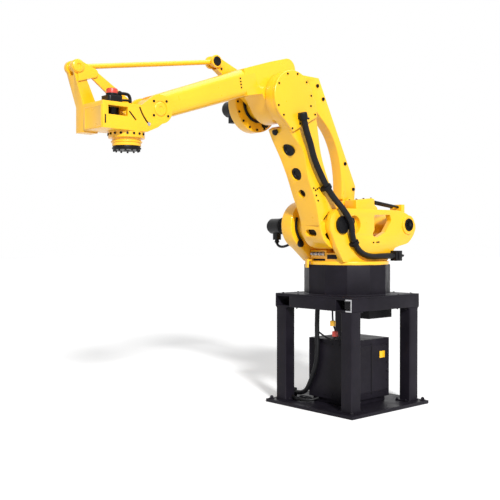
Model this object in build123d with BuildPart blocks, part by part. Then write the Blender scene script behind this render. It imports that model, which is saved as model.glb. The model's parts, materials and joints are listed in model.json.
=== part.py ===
from build123d import *
from math import cos, hypot, radians, sin, tan
import os

# Floor-mounted palletizing arm on a steel stand
# Frame: millimetres, origin on the floor under the swivel axis, +X the way the
# arm reaches, +Y its left side, +Z up. The pose is the one the arm is shown in.
os.makedirs("parts", exist_ok=True)

# Stand
PLATE_SIZE = 1088.0
PLATE_THICK = 30.0
FRAME_SIZE = 960.0
FRAME_TOP = 1041.0
CHANNEL_DEPTH = 126.0
CHANNEL_FLANGE = 185.0
BEAM_WIDTH = 120.0
CHANNEL_WALL = 12.0
DECK_THICK = 14.0
POST_SIZE = 125.0
POST_WALL = 8.0
POST_INSET = 6.0
POST_PAD = 150.0
POST_PAD_THICK = 10.0
ANCHOR_EDGE = 39.0
ANCHOR_RADIUS = 13.0

# Riser under the swivel
RISER_RADIUS = 405.0
RISER_SIDES = 12
RISER_TURN = 12.0
RISER_HEIGHT = 276.0
RISER_BORE = 170.0

# Cabinet inside the stand
CABINET_REAR = -262.0
CABINET_RIGHT = -211.0
CABINET_MARGIN = 180.0
CABINET_PLINTH = 50.0
CABINET_TOP = 628.0

# Cable duct under the deck
DUCT_X = (-310.0, 25.0)
DUCT_WIDTH = 120.0
DUCT_DEPTH = 212.0
DUCT_FIT = 5.0

# Arm axes
SHOULDER_FORWARD = 370.0
SHOULDER_RISE = 363.0
LOWER_ARM_LENGTH = 1215.0
LOWER_ARM_LEAN = 27.7
UPPER_ARM_LENGTH = 1330.0
UPPER_ARM_DROP = 10.0
FLANGE_FORWARD = 214.0
FLANGE_DROP = 315.0

# Levelling linkage, from the axis it hangs on, forward and up
LINK_BACK = (-403.0, 203.0)
LINK_FRONT = (548.0, 286.0)

# Running clearances
SHAFT_FIT = 0.3
OPEN_FIT = 5.0
SIDE_GAP = 7.0

# Swivel table, its box body and cheeks
SWIVEL_GAP = 0.3
SWIVEL_RADIUS = 392.0
SWIVEL_THICK = 30.0
FOOT_CLEARANCE = 40.0
BODY_REAR = 318.0
BODY_FRONT = 345.0
CHEEK_INNER = 212.0
CHEEK_THICK = 54.0
CHEEK_NOSE_RADIUS = 152.0
CHEEK_RISE = 150.0
CHEEK_HOLE = (-172.0, 4.0)
CHEEK_HOLE_RADIUS = 84.0
WINDOW_CORNER = 22.0
TAIL_REACH = 555.0
TAIL_DROP = 6.0
BARREL_RADIUS = 128.0
TAIL_HUB_RADIUS = 62.0
TAIL_RING_RADIUS = 92.0
FAR_CHEEK_INNER = -190.0
FAR_CHEEK_THICK = 40.0
BEARING_CAP_RADIUS = 79.0
BEARING_CAP_THICK = 24.0
FAR_CHEEK_FRONT = 130.0
SPIGOT_DEPTH = 200.0
SPIGOT_FIT = 10.0
APRON_RISE = 103.0
APRON_THICK = 45.0
APRON_NEAR = 55.0
HUB_RING_THICK = 14.0
TAIL_HUB = (-954.0, 13.0)
TAB_TURN = -20.0
TAB_WIDTH = 56.0
TAB_THICK = 18.0
TAB_ROOT = 384.0
TAB_DROP = 30.0

# Balancer over the tail: its rods' planes and ends from the shoulder axis
ROD_SIDES = (170.0, 95.0)
BALANCE_ROD_RADIUS = 12.0
BALANCE_START = (-520.0, 234.0)
BALANCE_END = (-926.0, 188.0)
BALANCE_SEAT = 24.0

# Rear link's foot bracket
EAR_THICK = 28.0
EAR_HEAD = 60.0
EAR_FOOT = 150.0

# Shoulder drive on the far side
DRIVE_NEAR = -40.0
DRIVE_FACE = -150.0
DRIVE_FAR = -290.0
DRIVE_RADIUS = 226.0
DRIVE_BOSS_RADIUS = 150.0
DRIVE_CHAMFER = 12.0
DRIVE_FOOT_REAR = -210.0
DRIVE_FOOT_FRONT = -68.0
MOTOR_END = -650.0
MOTOR_RADIUS = 74.0
MOTOR_FLANGE_RADIUS = 100.0
MOTOR_FLANGE_THICK = 40.0
PLUG_SIZE = 62.0
PLUG_DROP = 58.0
BAND_RADIUS = 11.0
SHOULDER_BAND = 173.0
ELBOW_BAND = 158.0
KNOB_RADIUS = 32.0

# Lower arm
ARM_NEAR = 205.0
ARM_FAR = -30.0
ARM_FOOT_RADIUS = 215.0
ARM_HEAD_RADIUS = 228.0
ARM_HOLES = ((0.658, 58.0), (0.469, 58.0), (0.321, 38.0))
ARM_HOLE_SIDE = 80.0
ARM_HOLE_FLOOR = 62.0
ARM_POCKET_DEPTH = 30.0
COVER_THICK = 30.0
FORK_INNER = 119.0
SHOULDER_SHAFT = 70.0
ELBOW_SHAFT = 70.0

# Rear link
LINK_NEAR = -15.0
LINK_FAR = -125.0
LINK_PIN = 30.0
LINK_EYE = 80.0

# Elbow lever and level rod
LEVER_NEAR = -130.0
LEVER_FAR = -230.0
LEVER_HUB_RADIUS = 141.0
LEVER_PLATE_NEAR = -150.0
LEVER_PLATE_FAR = -210.0
ROD_PLANE = -180.0
ROD_RADIUS = 20.0
ROD_EYE_RADIUS = 38.0
ROD_EYE_THICK = 44.0
ROD_PIN = 18.0

# Upper arm
TUBE_REAR_HALF_WIDTH = 115.0
TUBE_FRONT_HALF_WIDTH = 95.0
TUBE_REAR_HALF_HEIGHT = 112.0
TUBE_FRONT_HALF_HEIGHT = 95.0
ELBOW_DISC_RADIUS = 200.0
ELBOW_BODY_NEAR = 112.0
ELBOW_DRIVE_NEAR = -240.0
ELBOW_DRIVE_FAR = -345.0
ELBOW_DRIVE_RADIUS = 250.0
ELBOW_BOSS_RADIUS = 120.0

# Hoses and cables
HOSE_RADIUS = 28.0
HOSE_FIT = 0.3
HOSE_RUN = [(857, 272, 2568), (830, 268, 2486), (769, 262, 2380), (717, 258, 2242), (604, 258, 2073),
            (497, 258, 1940), (400, 320, 1811), (321, 328, 1715), (300, 326, 1650), (268, 300, 1570), (199, 300, 1463),
            (110, 300, 1410), (-17, 300, 1388), (-165, 300, 1396), (-319, 300, 1396)]
UPPER_CLAMP = 4
LOWER_CLAMP = 9
CLAMP_HALF = 16.0
CABLE_RADIUS = 22.0
CABLE_RUN = [(330, -62, 1025), (330, -82, 764), (330, -62, 449), (330, -150, 230), (330, -240, 84), (296, -400, 84)]
CABLE_DRAWN_FRAME = 960.0

# Wrist
WRIST_CHEEK_INNER = 104.0
WRIST_CHEEK_THICK = 30.0
WRIST_PIN = 60.0
WRIST_DISC = 110.0
GEAR_RADIUS = 135.0
REDUCER_RADIUS = 107.0
WRIST_MOTOR_FORWARD = 340.0
WRIST_MOTOR_RADIUS = 52.0
TOOL_FLANGE_RADIUS = 102.0
TOOL_FLANGE_THICK = 30.0
TOOL_BOLT_CIRCLE = 160.0
TOOL_BOLT_RADIUS = 6.0
TOOL_BOLTS = 8
TOOL_BORE = 25.0

riser_top = FRAME_TOP + RISER_HEIGHT
table_floor = riser_top + SWIVEL_GAP
table_top = table_floor + SWIVEL_THICK
shoulder = (SHOULDER_FORWARD, riser_top + SHOULDER_RISE)
body_top = shoulder[1] - ARM_FOOT_RADIUS - FOOT_CLEARANCE
tail = (-TAIL_REACH, shoulder[1] - TAIL_DROP)
tail_hub = (shoulder[0] + TAIL_HUB[0], shoulder[1] + TAIL_HUB[1])
rod_start = (shoulder[0] + BALANCE_START[0], shoulder[1] + BALANCE_START[1])
rod_end = (shoulder[0] + BALANCE_END[0], shoulder[1] + BALANCE_END[1])
elbow = (
    shoulder[0] + LOWER_ARM_LENGTH * sin(radians(LOWER_ARM_LEAN)),
    shoulder[1] + LOWER_ARM_LENGTH * cos(radians(LOWER_ARM_LEAN)),
)
wrist = (
    elbow[0] + UPPER_ARM_LENGTH * cos(radians(UPPER_ARM_DROP)),
    elbow[1] - UPPER_ARM_LENGTH * sin(radians(UPPER_ARM_DROP)),
)
link_foot = (shoulder[0] + LINK_BACK[0], shoulder[1] + LINK_BACK[1])
link_head = (elbow[0] + LINK_BACK[0], elbow[1] + LINK_BACK[1])
rod_rear = (elbow[0] + LINK_FRONT[0], elbow[1] + LINK_FRONT[1])
rod_front = (wrist[0] + LINK_FRONT[0], wrist[1] + LINK_FRONT[1])
flange_x = wrist[0] + FLANGE_FORWARD
flange_z = wrist[1] - FLANGE_DROP
cheek_near = CHEEK_INNER + CHEEK_THICK


def side(y):
    """A vertical plane seen from the left side: X is forward, Y is up, and solids grow away."""
    return Plane(origin=(0, y, 0), x_dir=(1, 0, 0), z_dir=(0, -1, 0))


def side_at(point, y, angle=0.0):
    """The same plane with its origin on an axis, turned up by an angle."""
    x_dir = (cos(radians(angle)), 0, sin(radians(angle)))
    return Plane(origin=(point[0], y, point[1]), x_dir=x_dir, z_dir=(0, -1, 0))


def save(builder, name):
    """Label a finished piece and write it."""
    builder.part.label = name
    export_step(builder.part, f"parts/{name}.step")


def cross_pin(point, near, far, radius):
    """A round bar across the machine."""
    with BuildPart() as bar:
        with BuildSketch(side_at(point, near)):
            Circle(radius)
        extrude(amount=near - far)
    return bar


LOWER_ARM_ANGLE = 90.0 - LOWER_ARM_LEAN
UPPER_ARM_ANGLE = -UPPER_ARM_DROP

# Stand: base plate with its anchor holes
with BuildPart() as base_plate:
    with BuildSketch():
        Rectangle(PLATE_SIZE, PLATE_SIZE)
        with GridLocations(PLATE_SIZE - 2 * ANCHOR_EDGE, PLATE_SIZE - 2 * ANCHOR_EDGE, 2, 2):
            Circle(ANCHOR_RADIUS, mode=Mode.SUBTRACT)
    extrude(amount=PLATE_THICK)
save(base_plate, "base_plate")

# Stand: four square tube posts with end pads
post_centre = FRAME_SIZE / 2 - POST_INSET - POST_SIZE / 2
frame_bottom = FRAME_TOP - CHANNEL_DEPTH
post_places = {
    "post_front_left": (1, 1),
    "post_front_right": (1, -1),
    "post_rear_left": (-1, 1),
    "post_rear_right": (-1, -1),
}
for post_name, (sx, sy) in post_places.items():
    foot = Plane(origin=(sx * post_centre, sy * post_centre, PLATE_THICK))
    pad_shift = (POST_PAD - POST_SIZE) / 2
    with BuildPart() as post:
        with BuildSketch(foot):
            RectangleRounded(POST_SIZE, POST_SIZE, 12)
            RectangleRounded(POST_SIZE - 2 * POST_WALL, POST_SIZE - 2 * POST_WALL, 6, mode=Mode.SUBTRACT)
        extrude(amount=frame_bottom - PLATE_THICK)
        for level in (PLATE_THICK, frame_bottom - POST_PAD_THICK):
            with BuildSketch(Plane(origin=(sx * (post_centre - pad_shift), sy * (post_centre - pad_shift), level))):
                Rectangle(POST_PAD, POST_PAD)
            extrude(amount=POST_PAD_THICK)
    save(post, post_name)

# Stand: two channels with their webs outside, open at the ends
channel_top = FRAME_TOP - DECK_THICK
for channel_name, sy in (("side_channel_left", 1), ("side_channel_right", -1)):
    web = FRAME_SIZE / 2
    with BuildPart() as channel:
        with BuildSketch(Plane(origin=(-FRAME_SIZE / 2, 0, 0), x_dir=(0, 1, 0), z_dir=(1, 0, 0))):
            with BuildLine():
                Polyline(
                    (sy * web, frame_bottom),
                    (sy * web, channel_top),
                    (sy * (web - CHANNEL_FLANGE), channel_top),
                    (sy * (web - CHANNEL_FLANGE), channel_top - CHANNEL_WALL),
                    (sy * (web - CHANNEL_WALL), channel_top - CHANNEL_WALL),
                    (sy * (web - CHANNEL_WALL), frame_bottom + CHANNEL_WALL),
                    (sy * (web - CHANNEL_FLANGE), frame_bottom + CHANNEL_WALL),
                    (sy * (web - CHANNEL_FLANGE), frame_bottom),
                    close=True,
                )
            make_face()
        extrude(amount=FRAME_SIZE)
    save(channel, channel_name)

# Stand: cross beams between the channels, and the deck
beam_length = FRAME_SIZE - 2 * CHANNEL_FLANGE
for beam_name, sx in (("front_beam", 1), ("rear_beam", -1)):
    with BuildPart() as beam:
        with BuildSketch(Plane(origin=(sx * (FRAME_SIZE - BEAM_WIDTH) / 2, 0, frame_bottom))):
            Rectangle(BEAM_WIDTH, beam_length)
        extrude(amount=CHANNEL_DEPTH - DECK_THICK)
    save(beam, beam_name)

with BuildPart() as deck_plate:
    with BuildSketch(Plane.XY.offset(channel_top)):
        Rectangle(FRAME_SIZE, FRAME_SIZE)
        Circle(RISER_BORE, mode=Mode.SUBTRACT)
    extrude(amount=DECK_THICK)
save(deck_plate, "deck_plate")

# Riser: a twelve-sided pedestal, hollow for the cables
with BuildPart() as riser:
    with BuildSketch(Plane.XY.offset(FRAME_TOP)):
        RegularPolygon(RISER_RADIUS, RISER_SIDES, rotation=RISER_TURN)
        Circle(RISER_BORE, mode=Mode.SUBTRACT)
    extrude(amount=RISER_HEIGHT)
save(riser, "riser_pedestal")

# Cabinet in the stand, on its plinth
with BuildPart() as cabinet:
    cabinet_edge = FRAME_SIZE / 2 - CABINET_MARGIN
    centre_x = (CABINET_REAR + cabinet_edge) / 2
    centre_y = (CABINET_RIGHT + cabinet_edge) / 2
    size_x = cabinet_edge - CABINET_REAR
    size_y = cabinet_edge - CABINET_RIGHT
    with BuildSketch(Plane(origin=(centre_x, centre_y, PLATE_THICK))):
        Rectangle(size_x - 60, size_y - 60)
    extrude(amount=CABINET_PLINTH)
    with BuildSketch(Plane(origin=(centre_x, centre_y, PLATE_THICK + CABINET_PLINTH))):
        Rectangle(size_x, size_y)
    extrude(amount=CABINET_TOP - PLATE_THICK - CABINET_PLINTH)
    fillet(cabinet.edges().filter_by(Axis.Z).group_by(Axis.Z)[-1], 8)
save(cabinet, "power_cabinet")

# Cable duct under the deck, beside the left channel
duct_outer = FRAME_SIZE / 2 - CHANNEL_FLANGE - DUCT_FIT
with BuildPart() as duct:
    with BuildSketch(Plane(origin=(sum(DUCT_X) / 2, duct_outer - DUCT_WIDTH / 2, channel_top - DUCT_DEPTH))):
        Rectangle(DUCT_X[1] - DUCT_X[0], DUCT_WIDTH)
    extrude(amount=DUCT_DEPTH)
save(duct, "cable_duct")

# Swivel base: round table, box body and front apron with its slot
foot_gap_rear = shoulder[0] + DRIVE_FOOT_REAR - SIDE_GAP
apron_far = DRIVE_FACE + SIDE_GAP
apron_top = table_top + APRON_RISE
with BuildPart() as swivel_base:
    with BuildSketch(Plane.XY.offset(table_floor)):
        Circle(SWIVEL_RADIUS)
    extrude(amount=SWIVEL_THICK)
    with BuildSketch(side(CHEEK_INNER)):
        with BuildLine():
            Polyline(
                (-BODY_REAR + 50, table_top),
                (-BODY_REAR, body_top),
                (BODY_FRONT, body_top),
                (BODY_FRONT, table_top),
                close=True,
            )
        make_face()
    extrude(amount=CHEEK_INNER - FAR_CHEEK_INNER)
    with BuildSketch(side(apron_far)):
        with Locations(((foot_gap_rear + BODY_FRONT + 20) / 2, (table_top + apron_top) / 2)):
            Rectangle(BODY_FRONT + 20 - foot_gap_rear, apron_top - table_top)
    extrude(amount=apron_far - FAR_CHEEK_INNER + 1, mode=Mode.SUBTRACT)
    with BuildSketch(Plane.XY.offset(table_top)):
        with Locations((BODY_FRONT - APRON_THICK / 2, (APRON_NEAR + apron_far) / 2)):
            Rectangle(APRON_THICK, APRON_NEAR - apron_far)
    extrude(amount=APRON_RISE)
    with BuildSketch(Plane.XY.offset(table_top + 6)):
        with Locations((BODY_FRONT, (APRON_NEAR + apron_far) / 2)):
            Rectangle(40, APRON_NEAR - apron_far - 32)
    extrude(amount=20, mode=Mode.SUBTRACT)
    with BuildSketch(Plane.XY.offset(table_floor - SPIGOT_DEPTH)):
        Circle(RISER_BORE - SPIGOT_FIT)
    extrude(amount=SPIGOT_DEPTH + 1)
save(swivel_base, "swivel_base")

# The cheeks' tail and the near one's window, in points from the shoulder axis
tail_curve = [(-739, 150), (-885, 136), (-1016, 79), (-1078, 5), (-1047, -83), (-975, -152), (-835, -189)]
window = [(-446, 98), (-681, 106), (-704, 49), (-615, -59), (-493, -113), (-418, -95), (-455, -38)]


def cheek_outline(front_x, foot):
    """Draws a cheek's outline: flat top, curved tail, sloped underside, then the foot's points."""
    points = [(shoulder[0] + x, shoulder[1] + z) for x, z in tail_curve]
    with BuildLine() as outline:
        Line((front_x, shoulder[1] + CHEEK_RISE), points[0])
        Spline(*points, tangents=((-1, 0), (1, -0.18)))
        Polyline(points[-1], (shoulder[0] - 758, shoulder[1] - 211), (-BODY_REAR + 50, table_top), *foot)
    make_face(outline.edges())


# Near cheek with the shoulder's bearing, its round hole, its window and the ring round the tail's hub
with BuildPart() as near_cheek:
    with BuildSketch(side(cheek_near)):
        nose_foot = (shoulder[0] + CHEEK_NOSE_RADIUS * 0.87, shoulder[1] - CHEEK_NOSE_RADIUS * 0.475)
        cheek_outline(shoulder[0] - 60, [(BODY_FRONT, table_top), (shoulder[0] + 71, shoulder[1] - 188), nose_foot,
                                         shoulder, (shoulder[0] - 60, shoulder[1] + CHEEK_RISE)])
        with Locations(shoulder):
            Circle(CHEEK_NOSE_RADIUS)
            Circle(SHOULDER_SHAFT + SHAFT_FIT, mode=Mode.SUBTRACT)
        with Locations((shoulder[0] + CHEEK_HOLE[0], shoulder[1] + CHEEK_HOLE[1])):
            Circle(CHEEK_HOLE_RADIUS, mode=Mode.SUBTRACT)
    extrude(amount=CHEEK_THICK)
    with BuildSketch(side(cheek_near)) as window_face:
        with BuildLine():
            Polyline(*[(shoulder[0] + x, shoulder[1] + z) for x, z in window], close=True)
        make_face()
        fillet(window_face.vertices(), WINDOW_CORNER)
    extrude(amount=CHEEK_THICK, mode=Mode.SUBTRACT)
    with BuildSketch(side_at(tail_hub, cheek_near + HUB_RING_THICK)):
        Circle(TAIL_RING_RADIUS)
        Circle(TAIL_HUB_RADIUS, mode=Mode.SUBTRACT)
    extrude(amount=HUB_RING_THICK)
save(near_cheek, "near_cheek")

# Far cheek, short in front so that the drive and the rear link pass
with BuildPart() as far_cheek:
    with BuildSketch(side(FAR_CHEEK_INNER)):
        cheek_outline(FAR_CHEEK_FRONT, [(FAR_CHEEK_FRONT, table_top), (FAR_CHEEK_FRONT, shoulder[1] + CHEEK_RISE)])
    extrude(amount=FAR_CHEEK_THICK)
save(far_cheek, "far_cheek")

# Tail barrel between the cheeks, with the lug for the balancer's rods
with BuildPart() as tail_barrel:
    with BuildSketch(side_at(tail, CHEEK_INNER)):
        Circle(BARREL_RADIUS)
    extrude(amount=CHEEK_INNER - FAR_CHEEK_INNER)
    with BuildSketch(side(CHEEK_INNER)):
        with Locations((rod_end[0] - BALANCE_SEAT, (rod_end[1] + BALANCE_SEAT + tail[1]) / 2)):
            Rectangle(2 * BALANCE_SEAT, rod_end[1] + BALANCE_SEAT - tail[1])
    extrude(amount=CHEEK_INNER - ROD_SIDES[1] + BALANCE_SEAT)
save(tail_barrel, "tail_barrel")

# Balancer: yoke on the near cheek's inner face, and two rods back to the barrel's lug
yoke = [(-261, 235), (-482, 258), (-520, 252), (-520, 200), (-566, 170), (-566, 110), (-261, 110)]
with BuildPart() as balance_yoke:
    with BuildSketch(side(CHEEK_INNER)):
        with BuildLine():
            Polyline(*[(shoulder[0] + x, shoulder[1] + z) for x, z in yoke], close=True)
        make_face()
    extrude(amount=CHEEK_INNER - ROD_SIDES[1] + BALANCE_SEAT)
save(balance_yoke, "balance_yoke")

rod_run = Vector(rod_end[0] - rod_start[0], 0, rod_end[1] - rod_start[1])
with BuildPart() as balance_rods:
    for rod_y in ROD_SIDES:
        with BuildSketch(Plane(origin=(rod_start[0], rod_y, rod_start[1]), x_dir=(0, 1, 0), z_dir=(-1, 0, 0))):
            Circle(BALANCE_ROD_RADIUS)
        extrude(amount=rod_run.length, dir=rod_run.normalized())
save(balance_rods, "balance_rods")

# Rear link's foot bracket: two ears over the body
with BuildPart() as link_bracket:
    for ear_near in (LINK_NEAR + EAR_THICK + SIDE_GAP, LINK_FAR - SIDE_GAP):
        with BuildSketch(side(ear_near)):
            with BuildLine():
                Polyline(
                    (link_foot[0] - EAR_FOOT, body_top),
                    (link_foot[0] - EAR_HEAD, link_foot[1]),
                    (link_foot[0] + EAR_HEAD, link_foot[1]),
                    (link_foot[0] + EAR_HEAD, body_top),
                    close=True,
                )
            make_face()
            with Locations(link_foot):
                Circle(EAR_HEAD)
        extrude(amount=EAR_THICK)
    with BuildSketch(side_at(link_foot, LINK_NEAR + EAR_THICK + SIDE_GAP)):
        Circle(LINK_PIN)
    extrude(amount=LINK_NEAR - LINK_FAR + 2 * (EAR_THICK + SIDE_GAP))
save(link_bracket, "link_bracket")

# Shoulder drive: boss, disc with a foot down to the table, chamfered on its far side
with BuildPart() as shoulder_drive:
    with BuildSketch(side_at(shoulder, DRIVE_FACE)):
        Circle(DRIVE_RADIUS)
        with BuildLine():
            Polyline(
                (DRIVE_FOOT_REAR, -60),
                (DRIVE_FOOT_REAR, table_top - shoulder[1]),
                (DRIVE_FOOT_FRONT, table_top - shoulder[1]),
                (119, -184),
                (0, 0),
                close=True,
            )
        make_face()
    extrude(amount=DRIVE_FACE - DRIVE_FAR)
    chamfer(shoulder_drive.edges().group_by(Axis.Y)[0], DRIVE_CHAMFER)
    with BuildSketch(side_at(shoulder, DRIVE_NEAR)):
        Circle(DRIVE_BOSS_RADIUS)
    extrude(amount=DRIVE_NEAR - DRIVE_FACE)
save(shoulder_drive, "shoulder_drive")


def motor(point, near):
    """A motor across the machine: flange, round body with a stepped end, and a plug box below."""
    body_near = near - MOTOR_FLANGE_THICK
    with BuildPart() as drive_motor:
        with BuildSketch(side_at(point, near)):
            Circle(MOTOR_FLANGE_RADIUS)
        extrude(amount=MOTOR_FLANGE_THICK)
        with BuildSketch(side_at(point, body_near)):
            Circle(MOTOR_RADIUS)
        extrude(amount=body_near - MOTOR_END)
        chamfer(drive_motor.edges().sort_by(Axis.Y)[0], 14)
        with BuildSketch(Plane(origin=(point[0], MOTOR_END + 75, point[1] - MOTOR_RADIUS - PLUG_DROP))):
            RectangleRounded(PLUG_SIZE, PLUG_SIZE, 10)
        extrude(amount=PLUG_DROP + 30)
    return drive_motor


save(motor(shoulder, DRIVE_FAR), "shoulder_motor")

# Near bearing cap and the hub cap on the tail
bearing_cap = cross_pin(shoulder, cheek_near + BEARING_CAP_THICK, cheek_near, BEARING_CAP_RADIUS)
save(bearing_cap, "bearing_cap")
tail_hub_cap = cross_pin(tail_hub, cheek_near + HUB_RING_THICK + 6, cheek_near, TAIL_HUB_RADIUS)
save(tail_hub_cap, "tail_hub_cap")


def band(point, face_y, radius, start, sweep_angle, knob_turn, knob_reach):
    """A round band laid in an arc on a drive's near face, ending at a knob."""
    with BuildPart() as arc_band:
        with BuildLine(side_at(point, face_y + BAND_RADIUS)):
            CenterArc((0, 0), radius, start, sweep_angle)
        start_x = point[0] + radius * cos(radians(start))
        start_z = point[1] + radius * sin(radians(start))
        along = (-sin(radians(start)), 0, cos(radians(start)))
        with BuildSketch(Plane(origin=(start_x, face_y + BAND_RADIUS, start_z), x_dir=(0, 1, 0), z_dir=along)):
            Circle(BAND_RADIUS)
        sweep()
        knob = (knob_reach * cos(radians(knob_turn)), knob_reach * sin(radians(knob_turn)))
        with BuildSketch(side_at(point, face_y + 2 * BAND_RADIUS + 1)):
            with Locations(knob):
                Circle(KNOB_RADIUS)
        extrude(amount=2 * BAND_RADIUS + 1)
    return arc_band


save(band(shoulder, DRIVE_FACE, SHOULDER_BAND, 24, -77, -56, 203), "shoulder_band")

# Stop tab on the front of the swivel
tab_inner = RISER_RADIUS + 6
tab_x = Vector(cos(radians(TAB_TURN)), sin(radians(TAB_TURN)), 0)
with BuildPart() as stop_tab:
    with BuildSketch(Plane(origin=(0, 0, table_top), x_dir=tab_x)):
        with Locations(((tab_inner + TAB_THICK + TAB_ROOT) / 2, 0)):
            Rectangle(tab_inner + TAB_THICK - TAB_ROOT, TAB_WIDTH)
    extrude(amount=TAB_THICK)
    with BuildSketch(Plane(origin=(0, 0, riser_top - TAB_DROP), x_dir=tab_x)):
        with Locations((tab_inner + TAB_THICK / 2, 0)):
            Rectangle(TAB_THICK, TAB_WIDTH)
    extrude(amount=table_top - riser_top + TAB_DROP)
save(stop_tab, "stop_tab")

# Lower arm: cranked box casting, drawn as two outlines in shares of its length, near side and far side
arm_front_near = [(0.082, 205), (0.154, 177), (0.254, 149), (0.365, 143), (0.463, 134), (0.547, 94), (0.621, 85),
                  (0.716, 118), (0.835, 158)]
arm_front_far = [(0.082, 190), (0.2, 170), (0.29, 167), (0.37, 160), (0.46, 151), (0.54, 150), (0.617, 152),
                 (0.716, 163), (0.835, 166)]
arm_back = [(0.856, 215), (0.79, 198), (0.681, 160), (0.545, 110), (0.43, 91), (0.32, 87), (0.19, 99), (0.06, 126)]


def arm_side(y, front_points):
    """One side of the lower arm: front edge, head line, back edge and foot line."""
    with BuildSketch(side_at(shoulder, y, LOWER_ARM_ANGLE)) as one_side:
        with BuildLine():
            front = Spline(*[(share * LOWER_ARM_LENGTH, -reach) for share, reach in front_points])
            back = Spline(*[(share * LOWER_ARM_LENGTH, reach) for share, reach in arm_back])
            Line(front @ 1, back @ 0)
            Line(back @ 1, front @ 0)
        make_face()
    return one_side.sketch


def arm_head(k=0.0):
    """The head's round outline with the neck below it."""
    with Locations((LOWER_ARM_LENGTH, 0)):
        Circle(ARM_HEAD_RADIUS)
    with BuildLine() as neck:
        Polyline(
            (LOWER_ARM_LENGTH - 40, -222),
            (LOWER_ARM_LENGTH - 205, -161),
            (LOWER_ARM_LENGTH - 255, -150 + k),
            (LOWER_ARM_LENGTH - 255, 190 - k),
            (LOWER_ARM_LENGTH - 130, 229),
            (LOWER_ARM_LENGTH - 40, 222),
            close=True,
        )
    make_face(neck.edges())


with BuildPart() as lower_arm:
    loft([arm_side(ARM_NEAR, arm_front_near), arm_side(ARM_FAR, arm_front_far)], ruled=True)
    with BuildSketch(side_at(shoulder, ARM_NEAR, LOWER_ARM_ANGLE)):
        Circle(ARM_FOOT_RADIUS)
        with BuildLine():
            Polyline((-60, 135), (70, 121), (260, 88), (260, 260), (-60, 260), close=True)
        make_face(mode=Mode.SUBTRACT)
    extrude(amount=ARM_NEAR - ARM_FAR)
    with BuildSketch(side_at(shoulder, FORK_INNER, LOWER_ARM_ANGLE)):
        with Locations((LOWER_ARM_LENGTH, 0)):
            Circle(ARM_HEAD_RADIUS + 2)
    extrude(amount=FORK_INNER - ARM_FAR + 1, mode=Mode.SUBTRACT)
    with BuildSketch(side_at(shoulder, ARM_NEAR, LOWER_ARM_ANGLE)):
        arm_head()
    extrude(amount=ARM_NEAR - FORK_INNER)
    along = Vector(sin(radians(LOWER_ARM_LEAN)), 0, cos(radians(LOWER_ARM_LEAN)))
    ahead = Vector(cos(radians(LOWER_ARM_LEAN)), 0, -sin(radians(LOWER_ARM_LEAN)))
    arm_root = Vector(shoulder[0], ARM_HOLE_SIDE, shoulder[1])
    for share, radius in ARM_HOLES:
        with BuildSketch(Plane(arm_root + along * share * LOWER_ARM_LENGTH + ahead * ARM_HOLE_FLOOR, x_dir=(0, 1, 0), z_dir=ahead)):
            Circle(radius)
        extrude(amount=200, mode=Mode.SUBTRACT)
    foot_out = Vector(cos(radians(20)), 0, -sin(radians(20)))
    with BuildSketch(Plane(arm_root + foot_out * 160, x_dir=(0, 1, 0), z_dir=foot_out)):
        SlotOverall(130, 66)
    extrude(amount=200, mode=Mode.SUBTRACT)
    with BuildSketch(side_at(shoulder, ARM_NEAR, LOWER_ARM_ANGLE)) as arm_pockets:
        with BuildLine():
            Polyline((158, -26), (124, -134), (88, -136), (120, -44), close=True)
        make_face()
        with BuildLine():
            Polyline((0, -176), (-4, -128), (-60, -73), (-106, -85), (-108, -124), (-46, -170), close=True)
        make_face()
        fillet(arm_pockets.vertices(), 9)
    extrude(amount=ARM_POCKET_DEPTH, mode=Mode.SUBTRACT)
    with BuildSketch(side_at(shoulder, cheek_near - 4)):
        Circle(SHOULDER_SHAFT)
    extrude(amount=cheek_near - 4 - ARM_NEAR)
    with BuildSketch(side_at(elbow, FORK_INNER)):
        Circle(ELBOW_SHAFT)
    extrude(amount=90)
save(lower_arm, "lower_arm")

with BuildPart() as elbow_cover:
    with BuildSketch(side_at(shoulder, ARM_NEAR + COVER_THICK, LOWER_ARM_ANGLE)):
        arm_head(6.0)
    extrude(amount=COVER_THICK)
    chamfer(elbow_cover.faces().sort_by(Axis.Y)[-1].edges(), 4)
save(elbow_cover, "elbow_cover")

# Rear link: bowed bar parallel to the lower arm
with BuildPart() as rear_link:
    with BuildSketch(side_at(link_foot, LINK_NEAR, LOWER_ARM_ANGLE)):
        with BuildLine():
            bow = Spline((90, -62), (0.27 * LOWER_ARM_LENGTH, 53), (0.59 * LOWER_ARM_LENGTH, 87),
                         (0.735 * LOWER_ARM_LENGTH, 25), (LOWER_ARM_LENGTH + 95, -28))
            Line(bow @ 1, (LOWER_ARM_LENGTH - 11, 174))
            Line((LOWER_ARM_LENGTH - 11, 174), (110, 174))
            Line((110, 174), (-60, 60))
            Line((-60, 60), bow @ 0)
        make_face()
        Circle(LINK_EYE)
        Circle(LINK_PIN + SHAFT_FIT, mode=Mode.SUBTRACT)
        with Locations((LOWER_ARM_LENGTH, 0)):
            Circle(LINK_PIN + OPEN_FIT, mode=Mode.SUBTRACT)
    extrude(amount=LINK_NEAR - LINK_FAR)
save(rear_link, "rear_link")

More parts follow.
